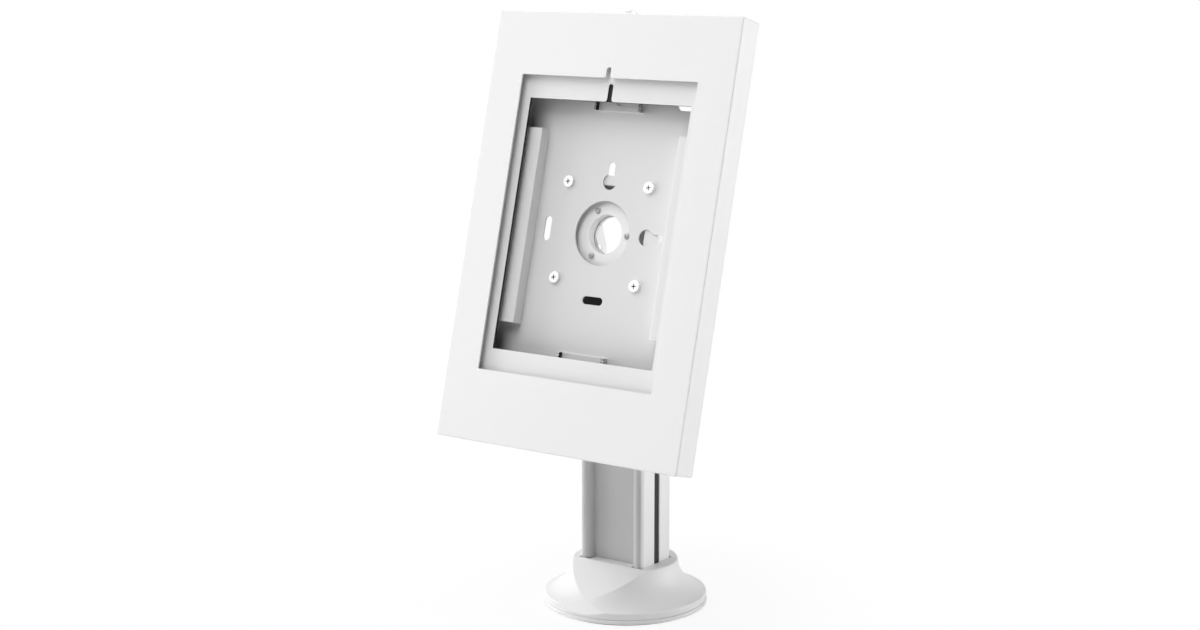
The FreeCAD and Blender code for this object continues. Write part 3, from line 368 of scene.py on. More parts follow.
def slab(bm, place, outline, holes, low, high, edge=0.25, hole_edge=None, rows=2):
    """Plate between two heights with rounded edges."""
    hole_edge = edge if hole_edge is None else hole_edge
    loops = [(outline, -1, edge)] + [(hole, 1, hole_edge) for hole in holes]
    ends = ([], [])
    for loop, sign, size in loops:
        steps = rounding(size, rows)
        rings = steps_of(bm, place, loop, sign, low, 1, steps)
        rings += steps_of(bm, place, loop, sign, high, -1, steps[::-1])
        skin(bm, rings)
        ends[0].append(rings[0])
        ends[1].append(rings[-1])
    cap(bm, ends[0])
    cap(bm, ends[1])


def pan(bm, place, outer, inner, holes, rim, floor_in, floor_out, edge, inner_edge=0.5, rim_edge=0.2):
    """Folded pan: walls that rise from a floor with holes to an open rim."""
    way = 1 if floor_out > rim else -1
    small, fold, hollow = rounding(rim_edge, 2), rounding(edge, 5), rounding(inner_edge, 3)
    rings = steps_of(bm, place, outer, -1, rim, way, small)
    rings += steps_of(bm, place, outer, -1, floor_out, -way, fold[::-1])
    skin(bm, rings)
    floor, back = [rings[-1]], []
    for hole in holes:
        walls = steps_of(bm, place, hole, 1, floor_out, -way, rounding(0.25, 2))
        walls += steps_of(bm, place, hole, 1, floor_in, way, rounding(0.15, 1)[::-1])
        skin(bm, walls)
        floor.append(walls[0])
        back.append(walls[-1])
    cap(bm, floor)
    walls = steps_of(bm, place, inner, -1, floor_in, -way, hollow)
    walls += steps_of(bm, place, inner, 1, rim, way, small[::-1])
    skin(bm, walls)
    cap(bm, back + [walls[0]])
    cap(bm, [rings[0], walls[-1]])


def turned(bm, place, profile, count=72, closed=False):
    """Turn an outline of radii and heights about the local z axis."""
    rings = []
    for radius, height in profile:
        if radius < 1e-6:
            rings.append([bm.verts.new(place @ Vector((0, 0, height)))])
        else:
            rings.append(ring_of(bm, place, disc(0, 0, radius, count), height))
    skin(bm, rings, wrap=closed)


def moved(place, x, y, z=0.0):
    return place @ Matrix.Translation((x, y, z))


# From mesh to finished piece

def raw_object(name, bm):
    """A mesh as it is, as an object at the origin."""
    mesh = bpy.data.meshes.new(name)
    bm.to_mesh(mesh)
    bm.free()
    item = bpy.data.objects.new(name, mesh)
    bpy.context.scene.collection.objects.link(item)
    return item


def new_object(name, bm):
    """A closed mesh with faces pointing outwards, as an object at the origin."""
    bmesh.ops.remove_doubles(bm, verts=bm.verts, dist=2e-7)
    bmesh.ops.dissolve_degenerate(bm, dist=1e-8, edges=bm.edges)
    bmesh.ops.recalc_face_normals(bm, faces=bm.faces)
    return raw_object(name, bm)


def bake(item):
    """Replace an object's mesh by its evaluated one and drop its modifiers."""
    graph = bpy.context.evaluated_depsgraph_get()
    mesh = bpy.data.meshes.new_from_object(item.evaluated_get(graph), preserve_all_data_layers=True,
                                           depsgraph=graph)
    item.modifiers.clear()
    item.data = mesh
    return item


def combine(item, other, operation):
    """Cut, join or intersect an object with another, which is used up."""
    step = item.modifiers.new("Combine", "BOOLEAN")
    step.object, step.operation, step.solver = other, operation, "EXACT"
    bake(item)
    bpy.data.objects.remove(other)
    return item


def ease(item, width, angle=35.0, segments=2):
    """Round an object's sharp edges."""
    step = item.modifiers.new("Ease", "BEVEL")
    step.width, step.segments, step.limit_method = width * MM, segments, "ANGLE"
    step.angle_limit = math.radians(angle)
    step.use_clamp_overlap = True
    return bake(item)


def finish(item, body, material, slot, *nodes, angle=32.0):
    """Smooth an object's rounded parts, give it its material and let it ride on its body."""
    mesh = item.data
    mesh.shade_smooth()
    mesh.set_sharp_from_angle(angle=math.radians(angle))
    step = item.modifiers.new("Even", "WEIGHTED_NORMAL")
    step.keep_sharp, step.weight = True, 80
    bake(item)
    item.data.name = item.name
    item.data.materials.clear()
    item.data.materials.append(material)
    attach(item, body)
    if nodes:
        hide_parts(*nodes)
    return item


def repaint(item, material, place, test):
    """Give one more material to the faces whose middle, in local millimetres, passes a test."""
    item.data.materials.append(material)
    local, index = place.inverted(), len(item.data.materials) - 1
    for part in item.data.polygons:
        if test(local @ part.center):
            part.material_index = index


def solid(name, shape, *values, **options):
    """One shape as an object of its own: a slab, a pan or a turned outline."""
    bm = bmesh.new()
    shape(bm, *values, **options)
    return new_object(name, bm)


# Geometry Nodes: one tree repeats a small part at points

def wire(tree, *links):
    """Link outputs to inputs, each given as node, output, node, input."""
    for giver, output, taker, inlet in links:
        tree.links.new(giver.outputs[output], taker.inputs[inlet])


def group_tree(name, inputs, outputs, kind="ShaderNodeTree"):
    """A node group with its sockets, its input and output nodes, and whether it is new and still empty."""
    if name in bpy.data.node_groups:
        return bpy.data.node_groups[name], None, None, False
    tree = bpy.data.node_groups.new(name, kind)
    for label, socket_kind, value in inputs:
        socket = tree.interface.new_socket(label, in_out="INPUT", socket_type="NodeSocket" + socket_kind)
        if value is not None:
            socket.default_value = value
    for label, socket_kind in outputs:
        tree.interface.new_socket(label, in_out="OUTPUT", socket_type="NodeSocket" + socket_kind)
    return tree, tree.nodes.new("NodeGroupInput"), tree.nodes.new("NodeGroupOutput"), True


def repeat_tree():
    """Tree that sets a part at each point of a mesh, each with its own turn about z."""
    tree, source, sink, new = group_tree(
        "Repeated small part",
        [("Places", "Geometry", None), ("Part", "Object", None), ("Size", "Float", 1.0),
         ("Largest Turn", "Float", math.tau), ("Seed", "Int", None), ("Finish", "Material", None)],
        [("Parts", "Geometry")], "GeometryNodeTree")
    if new:
        info, chance, spin, place, real, paint = (tree.nodes.new(kind) for kind in (
            "GeometryNodeObjectInfo", "FunctionNodeRandomValue", "ShaderNodeCombineXYZ",
            "GeometryNodeInstanceOnPoints", "GeometryNodeRealizeInstances", "GeometryNodeSetMaterial"))
        chance.data_type = "FLOAT"
        wire(tree, (source, "Part", info, "Object"), (source, "Places", place, "Points"),
             (info, "Geometry", place, "Instance"), (source, "Largest Turn", chance, 3),
             (source, "Seed", chance, "Seed"), (chance, 1, spin, "Z"), (spin, "Vector", place, "Rotation"),
             (source, "Size", place, "Scale"), (place, "Instances", real, "Geometry"),
             (real, "Geometry", paint, "Geometry"), (source, "Finish", paint, "Material"),
             (paint, "Geometry", sink, "Parts"))
    return tree


def repeated(name, part, points, place, seed, material, turn=math.tau):
    """Set a part, drawn in local millimetres, at each point of a local frame; the part is used up."""
    bm = bmesh.new()
    for point in points:
        bm.verts.new(point)
    item = raw_object(name, bm)
    step = item.modifiers.new("Repeat", "NODES")
    step.node_group = repeat_tree()
    values = {"Part": part, "Size": 1.0, "Largest Turn": turn, "Seed": seed, "Finish": material}
    for socket in step.node_group.interface.items_tree:
        if socket.in_out == "INPUT" and socket.name in values:
            step[socket.identifier] = values[socket.name]
    item.update_tag()
    bpy.context.view_layer.update()
    bake(item)
    item.data.transform(place)
    bpy.data.objects.remove(part)
    return item


def pan_screw(head, height, shank, length, recess, dome=0.45):
    """Pan-head screw on the local z axis, seat at 0, with a cross recess; dome is the round part's share."""
    flat = 1 - dome
    profile = corners([(0, -length), (shank - 0.3, -length), (shank, -length + 0.5), (shank, 0),
                       (head - 0.15, 0), (head, 0.2), (head, height * flat), (head * flat, height),
                       (0, height)],
                      [0, 0, 0, 0, 0, 0, height * dome * 0.6, height * dome, 0], closed=False)
    screw = solid("screw", turned, LOCAL, profile, 40)
    mouth = (height + 0.5, recess + 0.1, recess * 0.2)
    foot = (height - recess * 0.62, recess * 0.55, recess * 0.13)
    for upright in (True, False):
        bm = bmesh.new()
        rings = []
        for level, reach, half in (mouth, foot):
            x, y = (half, reach) if upright else (reach, half)
            rings.append(ring_of(bm, LOCAL, rectangle(-x, -y, x, y), level))
        skin(bm, rings)
        for ring in rings:
            cap(bm, [ring])
        combine(screw, new_object("cross", bm), "DIFFERENCE")
    return screw


def nut(across, height, bore):
    """Hexagon nut on the local z axis with its foot at 0 and its corners turned off."""
    body = solid("nut", slab, LOCAL, hexagon(0, 0, across), [disc(0, 0, bore, 32)], 0, height, 0.0)
    reach = across / math.sqrt(3)
    profile = [(0, 0), (reach * 0.92, 0), (reach + 0.1, height * 0.22), (reach + 0.1, height * 0.78),
               (reach * 0.92, height), (0, height)]
    return combine(body, solid("round", turned, LOCAL, profile, 48), "INTERSECT")


# Materials

PATTERN_OUTPUTS = (("Tone", "Float"), ("Gloss", "Float"), ("Height", "Float"))


def feed(tree, node, values):
    """Set a node's inputs, each to a number or to the socket that it is linked to."""
    for key, value in values:
        if hasattr(value, "is_output"):
            tree.links.new(value, node.inputs[key])
        else:
            node.inputs[key].default_value = value


def noise(tree, scale, detail, roughness, vector):
    """A noise between 0 and 1."""
    node = tree.nodes.new("ShaderNodeTexNoise")
    feed(tree, node, (("Scale", scale), ("Detail", detail), ("Roughness", roughness), ("Vector", vector)))
    return node.outputs["Fac"]


def maths(tree, operation, *values):
    """A maths node whose inputs are numbers or sockets."""
    node = tree.nodes.new("ShaderNodeMath")
    node.operation = operation
    feed(tree, node, enumerate(values))
    return node.outputs[0]


def swing(tree, value, amount):
    """A pattern between 0 and 1 as a change to both sides of 0."""
    return maths(tree, "MULTIPLY", maths(tree, "SUBTRACT", value, 0.5), amount)


def coat_group():
    """Powder coat and moulded grain: fine orange peel, and slight tone and gloss changes."""
    tree, source, sink, new = group_tree(
        "Coat grain", [("Vector", "Vector", None), ("Grain", "Float", 900.0), ("Peel", "Float", 260.0),
                       ("Tone Spread", "Float", 0.02)], PATTERN_OUTPUTS)
    if new:
        vector = source.outputs["Vector"]
        fine = noise(tree, source.outputs["Grain"], 1.0, 0.5, vector)
        peel = noise(tree, source.outputs["Peel"], 2.0, 0.55, vector)
        cloud = noise(tree, 9.0, 3.0, 0.6, vector)
        height = maths(tree, "ADD", maths(tree, "MULTIPLY", fine, 0.4), peel)
        tone = maths(tree, "ADD", swing(tree, cloud, source.outputs["Tone Spread"]), swing(tree, fine, 0.03))
        feed(tree, sink, (("Tone", maths(tree, "ADD", tone, 1.0)), ("Gloss", swing(tree, cloud, 0.16)),
                          ("Height", height)))
    return tree


def drawn_group():
    """Fine parallel lines of drawn, brushed or extruded metal, along one stretched axis."""
    tree, source, sink, new = group_tree(
        "Drawn lines", [("Vector", "Vector", None), ("Lines", "Float", 1400.0), ("Contrast", "Float", 0.05)],
        PATTERN_OUTPUTS)
    if new:
        vector = source.outputs["Vector"]
        lines = noise(tree, source.outputs["Lines"], 3.0, 0.65, vector)
        broad = noise(tree, maths(tree, "MULTIPLY", source.outputs["Lines"], 0.08), 2.0, 0.5, vector)
        mixed = maths(tree, "ADD", maths(tree, "MULTIPLY", lines, 0.65), maths(tree, "MULTIPLY", broad, 0.35))
        tone = maths(tree, "ADD", swing(tree, mixed, source.outputs["Contrast"]), 1.0)
        feed(tree, sink, (("Tone", tone), ("Gloss", swing(tree, mixed, 0.25)), ("Height", mixed)))
    return tree


def wear_group():
    """Sparse fine scuffs as a mask."""
    tree, source, sink, new = group_tree(
        "Fine scuffs", [("Vector", "Vector", None), ("Amount", "Float", 0.2)], [("Mask", "Float")])
    if new:
        vector = source.outputs["Vector"]
        patch = noise(tree, 35.0, 3.0, 0.6, vector)
        fleck = noise(tree, 1100.0, 2.0, 0.5, vector)
        where = maths(tree, "GREATER_THAN", maths(tree, "MULTIPLY", patch, fleck), 0.42)
        feed(tree, sink, [("Mask", maths(tree, "MULTIPLY", where, source.outputs["Amount"]))])
    return tree


def new_material(name):
    """A material with nodes, its tree and its shader."""
    material = bpy.data.materials.new(name)
    material.use_nodes = True
    return material, material.node_tree, material.node_tree.nodes["Principled BSDF"]


def surface(name, tint, pattern, settings, stretch=(1, 1, 1), roughness=0.45, metallic=0.0, bump=0.1,
            bump_distance=0.00005, scuffs=0.0, **extra):
    """A material: pattern on object coordinates, tone on its colour, gloss on its roughness, and bump."""
    if name in bpy.data.materials:
        return bpy.data.materials[name]
    material, tree, shader = new_material(name)
    place, mapping, group, mix, step = (tree.nodes.new("ShaderNode" + kind) for kind in (
        "TexCoord", "Mapping", "Group", "VectorMath", "Bump"))
    group.node_tree = pattern()
    feed(tree, group, settings.items())
    mix.operation = "SCALE"
    feed(tree, mapping, [("Scale", stretch)])
    feed(tree, mix, [(0, tint)])
    feed(tree, step, (("Strength", bump), ("Distance", bump_distance)))
    wire(tree, (place, "Object", mapping, "Vector"), (mapping, "Vector", group, "Vector"),
         (group, "Tone", mix, "Scale"), (mix, "Vector", shader, "Base Color"),
         (group, "Height", step, "Height"), (step, "Normal", shader, "Normal"))
    rough = maths(tree, "ADD", group.outputs["Gloss"], roughness)
    if scuffs:
        wear = tree.nodes.new("ShaderNodeGroup")
        wear.node_tree = wear_group()
        feed(tree, wear, (("Amount", scuffs), ("Vector", mapping.outputs["Vector"])))
        rough = maths(tree, "ADD", rough, maths(tree, "MULTIPLY", wear.outputs["Mask"], 0.4))
    feed(tree, shader, [("Roughness", rough), ("Metallic", metallic)]
         + [(label.replace("_", " "), value) for label, value in extra.items()])
    return material


def coat(name, tint, grain, peel, spread=0.02, **looks):
    """A material with the grain of powder coat or moulded plastic."""
    return surface(name, tint, coat_group, {"Grain": grain, "Peel": peel, "Tone Spread": spread}, **looks)


def metal(name, tint, lines, contrast, **looks):
    """A material with the fine lines of drawn or plated metal."""
    return surface(name, tint, drawn_group, {"Lines": lines, "Contrast": contrast}, **looks)


def materials(context):
    """Every material, by the name of its record slot or of its use."""
    tints, upwards = context.scene.tablet_colours, (1, 1, 0.012)
    return {
        "white_coat": coat("White powder coat", tints.coat, 1500, 420, roughness=0.42, bump=0.18, scuffs=0.15,
                           Coat_Weight=0.12, Coat_Roughness=0.25),
        "inner_coat": coat("Inner powder coat", tints.inner, 1300, 380, roughness=0.5, bump=0.15),
        # Painted shade: the white coat darkened for the parts that lie in the enclosure's shade.
        "tray_coat": coat("Tray powder coat", tints.tray, 1500, 420, bump=0.16, scuffs=0.1),
        "anodised": metal("Anodised extrusion", tints.column, 2600, 0.07, stretch=upwards, roughness=0.42,
                          metallic=0.15, bump=0.12, scuffs=0.1),
        # Painted shade: a darker copy of the anodised finish for the column's front and back faces.
        "column_recess": metal("Column recess", tints.recess, 2600, 0.05, stretch=upwards, roughness=0.5),
        "satin_grey": coat("Moulded base cover", tints.base, 1900, 700, 0.015, roughness=0.5, bump=0.12),
        # Used both as the ring screws' steel and as painted shade on the upper stop's ears.
        "dull_steel": metal("Dull steel", tints.dull, 900, 0.1, roughness=0.4, metallic=0.3),
        "zinc_steel": metal("Zinc plate", tints.zinc, 900, 0.12, stretch=(1, 0.3, 1), roughness=0.3,
                            metallic=0.85, scuffs=0.2),
        "bright_screw": coat("Bright screw", tints.screw, 1400, 300, roughness=0.32, metallic=0.3, bump=0.05),
        "lock_chrome": coat("Chrome plate", tints.chrome, 900, 120, roughness=0.14, metallic=1.0, bump=0.03,
                            scuffs=0.1),
        "black_plastic": coat("Black moulded plastic", tints.black, 2600, 1200, 0.2, roughness=0.6, bump=0.3,
                              Specular_IOR_Level=0.25),
        "pad_rubber": coat("Pad rubber", tints.rubber, 1800, 600, 0.3, roughness=0.85, bump=0.5),
        "nylon": coat("Nylon", tints.nylon, 1200, 300),
    }


# Base; the facet's height is at the column's face, and the gap is round the column and over the disc

FACET_SLOPE = math.radians(35.5)
FACET_HEIGHT = 38.2
GAP = 0.3
PAD_TOP, DISC_TOP = 1.5, 5
BOLT_HOLE, PAD_HOLE = 3.3, 4.5


def bell_profile(base, inset):
    """Half section of the bell as radii and heights; an inset gives its inner face."""
    foot = DISC_TOP + GAP if inset == 0 else DISC_TOP - 1
    edge, top = base.radius - inset, base.height - inset
    start, end = Vector((base.radius - 0.5, base.rim)), Vector((base.neck, base.height - 1))
    chord = end - start
    out = Vector((chord.y, -chord.x)).normalized() * math.sqrt(base.curve ** 2 - chord.length_squared / 4)
    centre = (start + end) / 2 + out
    size = base.curve + inset
    first = math.asin((centre.x - (edge - 0.5)) / size)
    last = math.acos((centre.y - (top - 1)) / size)
    hollow = arc(centre, size, -math.pi / 2 - first, first - last, 26)
    shoulder = hollow[0][1] + inset * 0.1
    rim = [(edge, foot), (edge, shoulder - 0.9), (edge - 0.26, shoulder - 0.27)]
    neck = [(hollow[-1][0] - 0.35, top - 0.3), (hollow[-1][0] - 1.1, top)]
    return [(0, foot)] + rim + hollow + neck + [(0, top)]


def below_facet(column, drop):
    """Big block below the plane of the front facet, lowered by a distance square to it."""
    sine, cosine = math.sin(FACET_SLOPE), math.cos(FACET_SLOPE)
    place = turned_frame((1, 0, 0), (0, cosine, sine), (0, -sine, cosine),
                         (0, drop * sine - column.depth / 2, FACET_HEIGHT - drop * cosine))
    return solid("block", slab, place, rectangle(-200, -300, 200, 300), [], -400, 0, 0.0)


def square_profile(column, gap):
    """Section of the extrusion with square rails and no slots, drawn out by a gap."""
    across, nose = column.width / 2 + gap, column.depth / 2 + gap
    inner, face = column.width / 2 - column.rail - gap, column.depth / 2 - column.recess + gap
    half = [(-inner, -nose), (-inner, -face), (inner, -face), (inner, -nose), (across, -nose), (across, nose)]
    return corners(half + [(-x, -y) for x, y in half], 0.3)


def make_base_cover(context, paint):
    column, base = sizes(context)[2:]
    shells = []
    for inset in (0.0, base.wall):
        shell = solid("base_cover", turned, UPRIGHT, bell_profile(base, inset), 200)
        shells.append(combine(shell, below_facet(column, inset), "INTERSECT"))
    cover = combine(*shells, "DIFFERENCE")
    hole = solid("hole", slab, UPRIGHT, square_profile(column, GAP), [], 12, 60, 0.0)
    combine(cover, hole, "DIFFERENCE")
    finish(cover, "base_cover", paint["satin_grey"], "satin_grey", "base_cover", angle=14)


def make_base_plates(context, paint):
    base = sizes(context)[3]
    reach = base.bolt_circle / 2 * math.sqrt(0.5)
    bolts, mouths = ([disc(x, y, radius, 40) for x, y in four(reach, reach)]
                     for radius in (BOLT_HOLE, PAD_HOLE))
    steel = solid("base_disc", slab, UPRIGHT, disc(0, 0, base.disc, 160), bolts, PAD_TOP, DISC_TOP, 0.9,
                  0.2, 4)
    finish(steel, "stand", paint["satin_grey"], "zinc_steel", "base_disc")
    pad = solid("base_pad", slab, UPRIGHT, disc(0, 0, base.pad, 160), mouths, 0, PAD_TOP, 0.25, 0.1)
    finish(pad, "stand", paint["pad_rubber"], "pad_rubber", "base_pad")


# Column

SLOT_LIP, SLOT_UNDERCUT, SLOT_DEPTH = 2, 2, 8
PORT_X, PORT_Y = 5, 7
CAP_FLOOR = 2


def column_outline(column):
    """Section of the extrusion: four round-nosed rails, recessed faces and side slots."""
    across, nose = column.width / 2, column.depth / 2
    inner, face = across - column.rail, nose - column.recess
    mouth, chamber = column.slot / 2, column.slot / 2 + SLOT_UNDERCUT
    lip, deep = across - SLOT_LIP, across - SLOT_DEPTH
    slot = [(across, -mouth), (lip, -mouth), (lip, -chamber), (deep, -chamber)]
    slot += [(x, -y) for x, y in reversed(slot)]
    front = [(-inner, -nose), (-inner, -face), (inner, -face), (inner, -nose), (across, -nose)]
    round_nose = column.rail / 2 - 0.01
    radii = [round_nose, 0.5, 0.5, round_nose, round_nose] + [0.25] * len(slot) + [round_nose]
    half = front + slot + [(across, nose)]
    return corners(half + [(-x, -y) for x, y in half], radii * 2)


def ports(column):
    """Middles of the screw ports in the four rails."""
    return four(column.width / 2 - PORT_X, column.depth / 2 - PORT_Y)


def make_column(context, paint):
    column = sizes(context)[2]
    side, face = column.width / 2, column.depth / 2 - column.recess
    holes = [disc(x, y, 2.1, 32) for x, y in ports(column)]
    core_x, core_y = side - column.rail - 0.5, face - 2.5
    item = solid("column", slab, UPRIGHT, column_outline(column),
                 [rectangle(-core_x, -core_y, core_x, core_y, 0.6)] + holes, DISC_TOP, column.top, 0.12)
    finish(item, "stand", paint["anodised"], "anodised", "column", angle=24)
    # Painted shade: faces across the rails and the recess, front and back, take the darker grey; the side
    # faces stay lighter.
    low, high = DISC_TOP + 0.2, column.top - 0.2
    repaint(item, paint["column_recess"], UPRIGHT,
            lambda at: abs(at.x) < side - 1.8 and abs(at.y) > face - 0.1 and low < at.z < high)


def make_slot_strips(context, paint):
    column = sizes(context)[2]
    play, half = 0.15, column.width / 2
    mouth, chamber = column.slot / 2 - play, column.slot / 2 + SLOT_UNDERCUT - play
    lip = half - SLOT_LIP - play
    deep = lip - 1.5
    points = [(half - 1, -mouth), (half - 0.8, 0), (half - 1, mouth), (lip, mouth), (lip, chamber),
              (deep, chamber), (deep, -chamber), (lip, -chamber), (lip, -mouth)]
    for side, name in ((-1, "slot_strip_left"), (1, "slot_strip_right")):
        low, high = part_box(name)
        loop = corners([(side * x, side * y) for x, y in points], 0.12)
        strip = solid(name, slab, UPRIGHT, loop, [], low.z / MM, high.z / MM, 0.1)
        finish(strip, "stand", paint["black_plastic"], "black_plastic", name)


def make_column_cap(context, paint):
    column = sizes(context)[2]
    low, high = (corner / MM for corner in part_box("column_cap"))
    outer, inner = (rectangle(low.x + wall, low.y + wall, high.x - wall, high.y - wall, radius)
                    for wall, radius in ((0, 3), (1.5, 1.6)))
    cap_piece = solid("column_cap", pan, UPRIGHT, outer, inner, [], low.z, column.top, high.z, 1.1, 0.4, 0.3)
    finish(cap_piece, "stand", paint["black_plastic"], "black_plastic", "column_cap")


# Head; the ring's back and the tilting bracket's front are heights from the back plate's face

RING_BACK, YOKE_FRONT = -8, -12.75
RING_CIRCLE, PIN_HOLE = 20, 3.05


def bent_bracket(name, section, section_place, section_reach, outline, holes, side_place, half):
    """U-bracket: a bent section, trimmed to its outline as seen from the side."""
    item = solid(name, slab, section_place, section, [], *section_reach, 0.0)
    combine(item, solid("side", slab, side_place, outline, holes, -half, half, 0.0), "INTERSECT")
    return item


def make_head_bracket(context, paint):
    head, column = sizes(context)[1:3]
    inner = head.yoke_face + head.metal + head.ear_gap
    outer, low = inner + head.metal, column.top + CAP_FLOOR
    floor, top = low + head.metal, head.pivot_height + 30
    bend, bent, half, rise = head.bend, head.bend + head.metal, 18, low + 6
    section = corners([(-inner, top), (-outer, top), (-outer, low), (outer, low), (outer, top), (inner, top),
                       (inner, floor), (-inner, floor)], [0, 0, bent, bent, 0, 0, bend, bend])
    outline = lug([(-half, rise), (-half, low), (half, low), (half, rise)], (0, head.pivot_height),
                  head.head_ear)
    bore = disc(0, head.pivot_height, PIN_HOLE, 40)
    item = bent_bracket("head_bracket", section, ACROSS, (-60, 60), outline, [bore], SIDEWAYS, outer + 2)
    ease(item, 0.35, 50)
    finish(item, "stand", paint["white_coat"], "white_coat", "head_bracket")


def make_tilt_yoke(context, paint):
    head = sizes(context)[1]
    place, front, low = plate_frame(head), YOKE_FRONT, RING_BACK
    back = front - head.metal
    inner, outer = head.yoke_face, head.yoke_face + head.metal
    far, bent, drop, reach = -80, head.bend + head.metal, -head.pivot_drop, -head.pivot_reach
    section = corners([(back, inner), (back, -inner), (far, -inner), (far, -outer), (front, -outer),
                       (front, outer), (far, outer), (far, inner)],
                      [head.bend, head.bend, 0, 0, bent, bent, 0, 0])
    outline = lug([(41, back), (41, front), (-31, front), (-31, back), (drop + reach / 2.6, back)],
                  (drop, reach), head.yoke_ear)
    foot, rail = drop + head.yoke_ear - 1.5, back - 5.5
    window = corners([(foot, rail), (foot, rail - 10.5), (foot + 15.5, rail)], 1.2)
    pin = disc(drop, reach, PIN_HOLE, 40)
    item = bent_bracket("tilt_yoke", section, end_frame(head), (-70, 70), outline, [window, pin],
                        side_frame(head), outer + 2)
    bore = [(0, low - 20), (head.bore, low - 20), (head.bore, 0), (0, 0)]
    combine(item, solid("bore", turned, place, bore, 96), "DIFFERENCE")
    boss = corners([(head.bore, back + 0.4), (head.bore + 3, back + 0.4), (head.bore + 3, front - 0.5),
                    (head.boss, front - 0.5), (head.boss, low), (head.bore + 1, low), (head.bore + 1, front),
                    (head.bore, front)], [0.3, 0, 0, 0, 0.3, 0.3, 0.1, 0.1])
    combine(item, solid("boss", turned, place, boss, 96, closed=True), "UNION")
    ease(item, 0.35, 50)
    finish(item, "tilt_head", paint["white_coat"], "white_coat", "tilt_yoke")


def make_clamp_ring(context, paint):
    head = sizes(context)[1]
    profile = corners([(head.bore, RING_BACK), (head.ring, RING_BACK), (head.ring, head.ring_face),
                       (head.bore, head.ring_face)], [0.2, 0.3, 0.5, 0.45])
    item = solid("clamp_ring", turned, plate_frame(head), profile, 120, closed=True)
    finish(item, "tilt_head", paint["white_coat"], "white_coat", "clamp_ring")


def make_pivot_bolts(context, paint):
    head = sizes(context)[1]
    seat = head.yoke_face + 2 * head.metal + head.ear_gap
    profile = corners([(0, -6.7), (3, -6.7), (3, 0), (5.5, 0), (5.5, 1.6), (4.2, 3.2), (0, 3.2)],
                      [0, 0.5, 0, 0.2, 1.2, 0.7, 0], closed=False)
    bolts = []
    for side in (-1, 1):
        place = turned_frame((0, side, 0), (0, 0, 1), (side, 0, 0), (side * seat, 0, head.pivot_height))
        bolt = solid("pivot_bolts", turned, place, profile, 64)
        socket = solid("socket", slab, place, hexagon(0, 0, 4, 0.1), [], 1.0, 6.0, 0.0)
        bolts.append(combine(bolt, socket, "DIFFERENCE"))
    finish(combine(*bolts, "UNION"), "stand", paint["zinc_steel"], "zinc_steel", "pivot_bolts")


# Enclosure; a keyhole is bore, slot width and reach, a slot is length and width, after x and y if it has them

HUB_HOLE = 25
KEYHOLE_PLACE, KEYHOLE = 40, (12.5, 6, 15)
TIE_PLACE, TIE_SLOT = 52, (19, 6.2)
LEAD_SLOT = (64.5, 101.4, 25, 7.8)
CHANNEL_FOOT, CHANNEL_FLANGE = 16, 26.5
STOP_HEIGHT, STOP_EAR = 13.5, 18
PLATE_X, PLATE_Y, SCREW_SQUARE = 50, 45, 75
MASK_STUDS = (92, 131)
LOCK_DEPTH = 9.5


def window_outline(width, height, slot, top):
    """Window with a narrow round-ended slot above it and eased corners between the two."""
    half, up, side, flare = width / 2, height / 2, slot / 2, 2.0
    points = [(-half, -up), (half, -up), (half, up), (side, up), (side, top), (-side, top), (-side, up),
              (-half, up)]
    return corners(points, [0.5, 0.5, 0.5, flare, side - 0.01, side - 0.01, flare, 0.5])


def keyhole(x, y, bore, slot, reach, turn):
    """Round hole with a narrower round-ended slot that leads away from it, upwards when the turn is 0."""
    start = math.asin(slot / bore)
    loop = arc((0, 0), bore / 2, math.pi / 2 + start, math.tau - 2 * start, 40)
    loop += arc((0, reach - slot / 2), slot / 2, 0, math.pi, 16)
    cosine, sine = math.cos(turn), math.sin(turn)
    return [(x + a * cosine - b * sine, y + a * sine + b * cosine) for a, b in loop]


def wall_outlines(enclosure, inset):
    """Outer and inner outline of folded walls, drawn in from the cover's edges."""
    half, wall = enclosure.cover_width / 2 - inset, enclosure.sheet
    bottom, top = inset - enclosure.cover_below, enclosure.cover_above - inset
    return (rectangle(-half, bottom, half, top, enclosure.corner),
            rectangle(-half + wall, bottom + wall, half - wall, top - wall, enclosure.corner - 1))


def make_front_cover(context, paint):
    enclosure, head = sizes(context)[:2]
    window = window_outline(enclosure.window_width, enclosure.window_height, enclosure.slot_width,
                            enclosure.slot_top)
    cover = solid("front_cover", pan, plate_frame(head), *wall_outlines(enclosure, 0), [window],
                  enclosure.cover_back, enclosure.cover_front - enclosure.sheet, enclosure.cover_front,
                  enclosure.fold)
    hole = [(0, -4), (6.2, -4), (6.2, 4), (0, 4)]
    combine(cover, solid("hole", turned, lock_frame(head, enclosure), hole, 64), "DIFFERENCE")
    finish(cover, "front", paint["white_coat"], "white_coat", "front_cover")


def make_inner_frame(context, paint):
    enclosure, head = sizes(context)[:2]
    half, up, face = enclosure.mask_width / 2, enclosure.mask_height / 2, enclosure.mask_face
    wide, high = enclosure.mask_window_width / 2, enclosure.mask_window_height / 2
    back, place, top = face - enclosure.mask_sheet, plate_frame(head), enclosure.mask_slot_top
    window = window_outline(2 * wide, 2 * high, enclosure.slot_width, top)
    lining_x, lining_y = half - 14, up - 15
    bm = bmesh.new()
    slab(bm, place, rectangle(-half, -up, half, up, 4), [window], back, face, 0.2, 0.25)
    # Black foam lining behind the mask; it also stands in for the shade behind the mask.
    slab(bm, place, rectangle(-lining_x, -lining_y, lining_x, lining_y, 3),
         [rectangle(-wide, -high, wide, high, 0.5)], back - enclosure.lining, back, 0.1, 0.1)
    mask = finish(new_object("inner_frame", bm), "front", paint["inner_coat"], "inner_coat", "inner_frame")
    # Painted shade: the mask's window and slot edges behind the front 0.2 mm are painted black, as is the
    # lining.
    repaint(mask, paint["black_plastic"], place,
            lambda at: at.z < back - 0.01
            or (abs(at.x) < wide + 1 and abs(at.y) < top + 1 and at.z < face - 0.2))


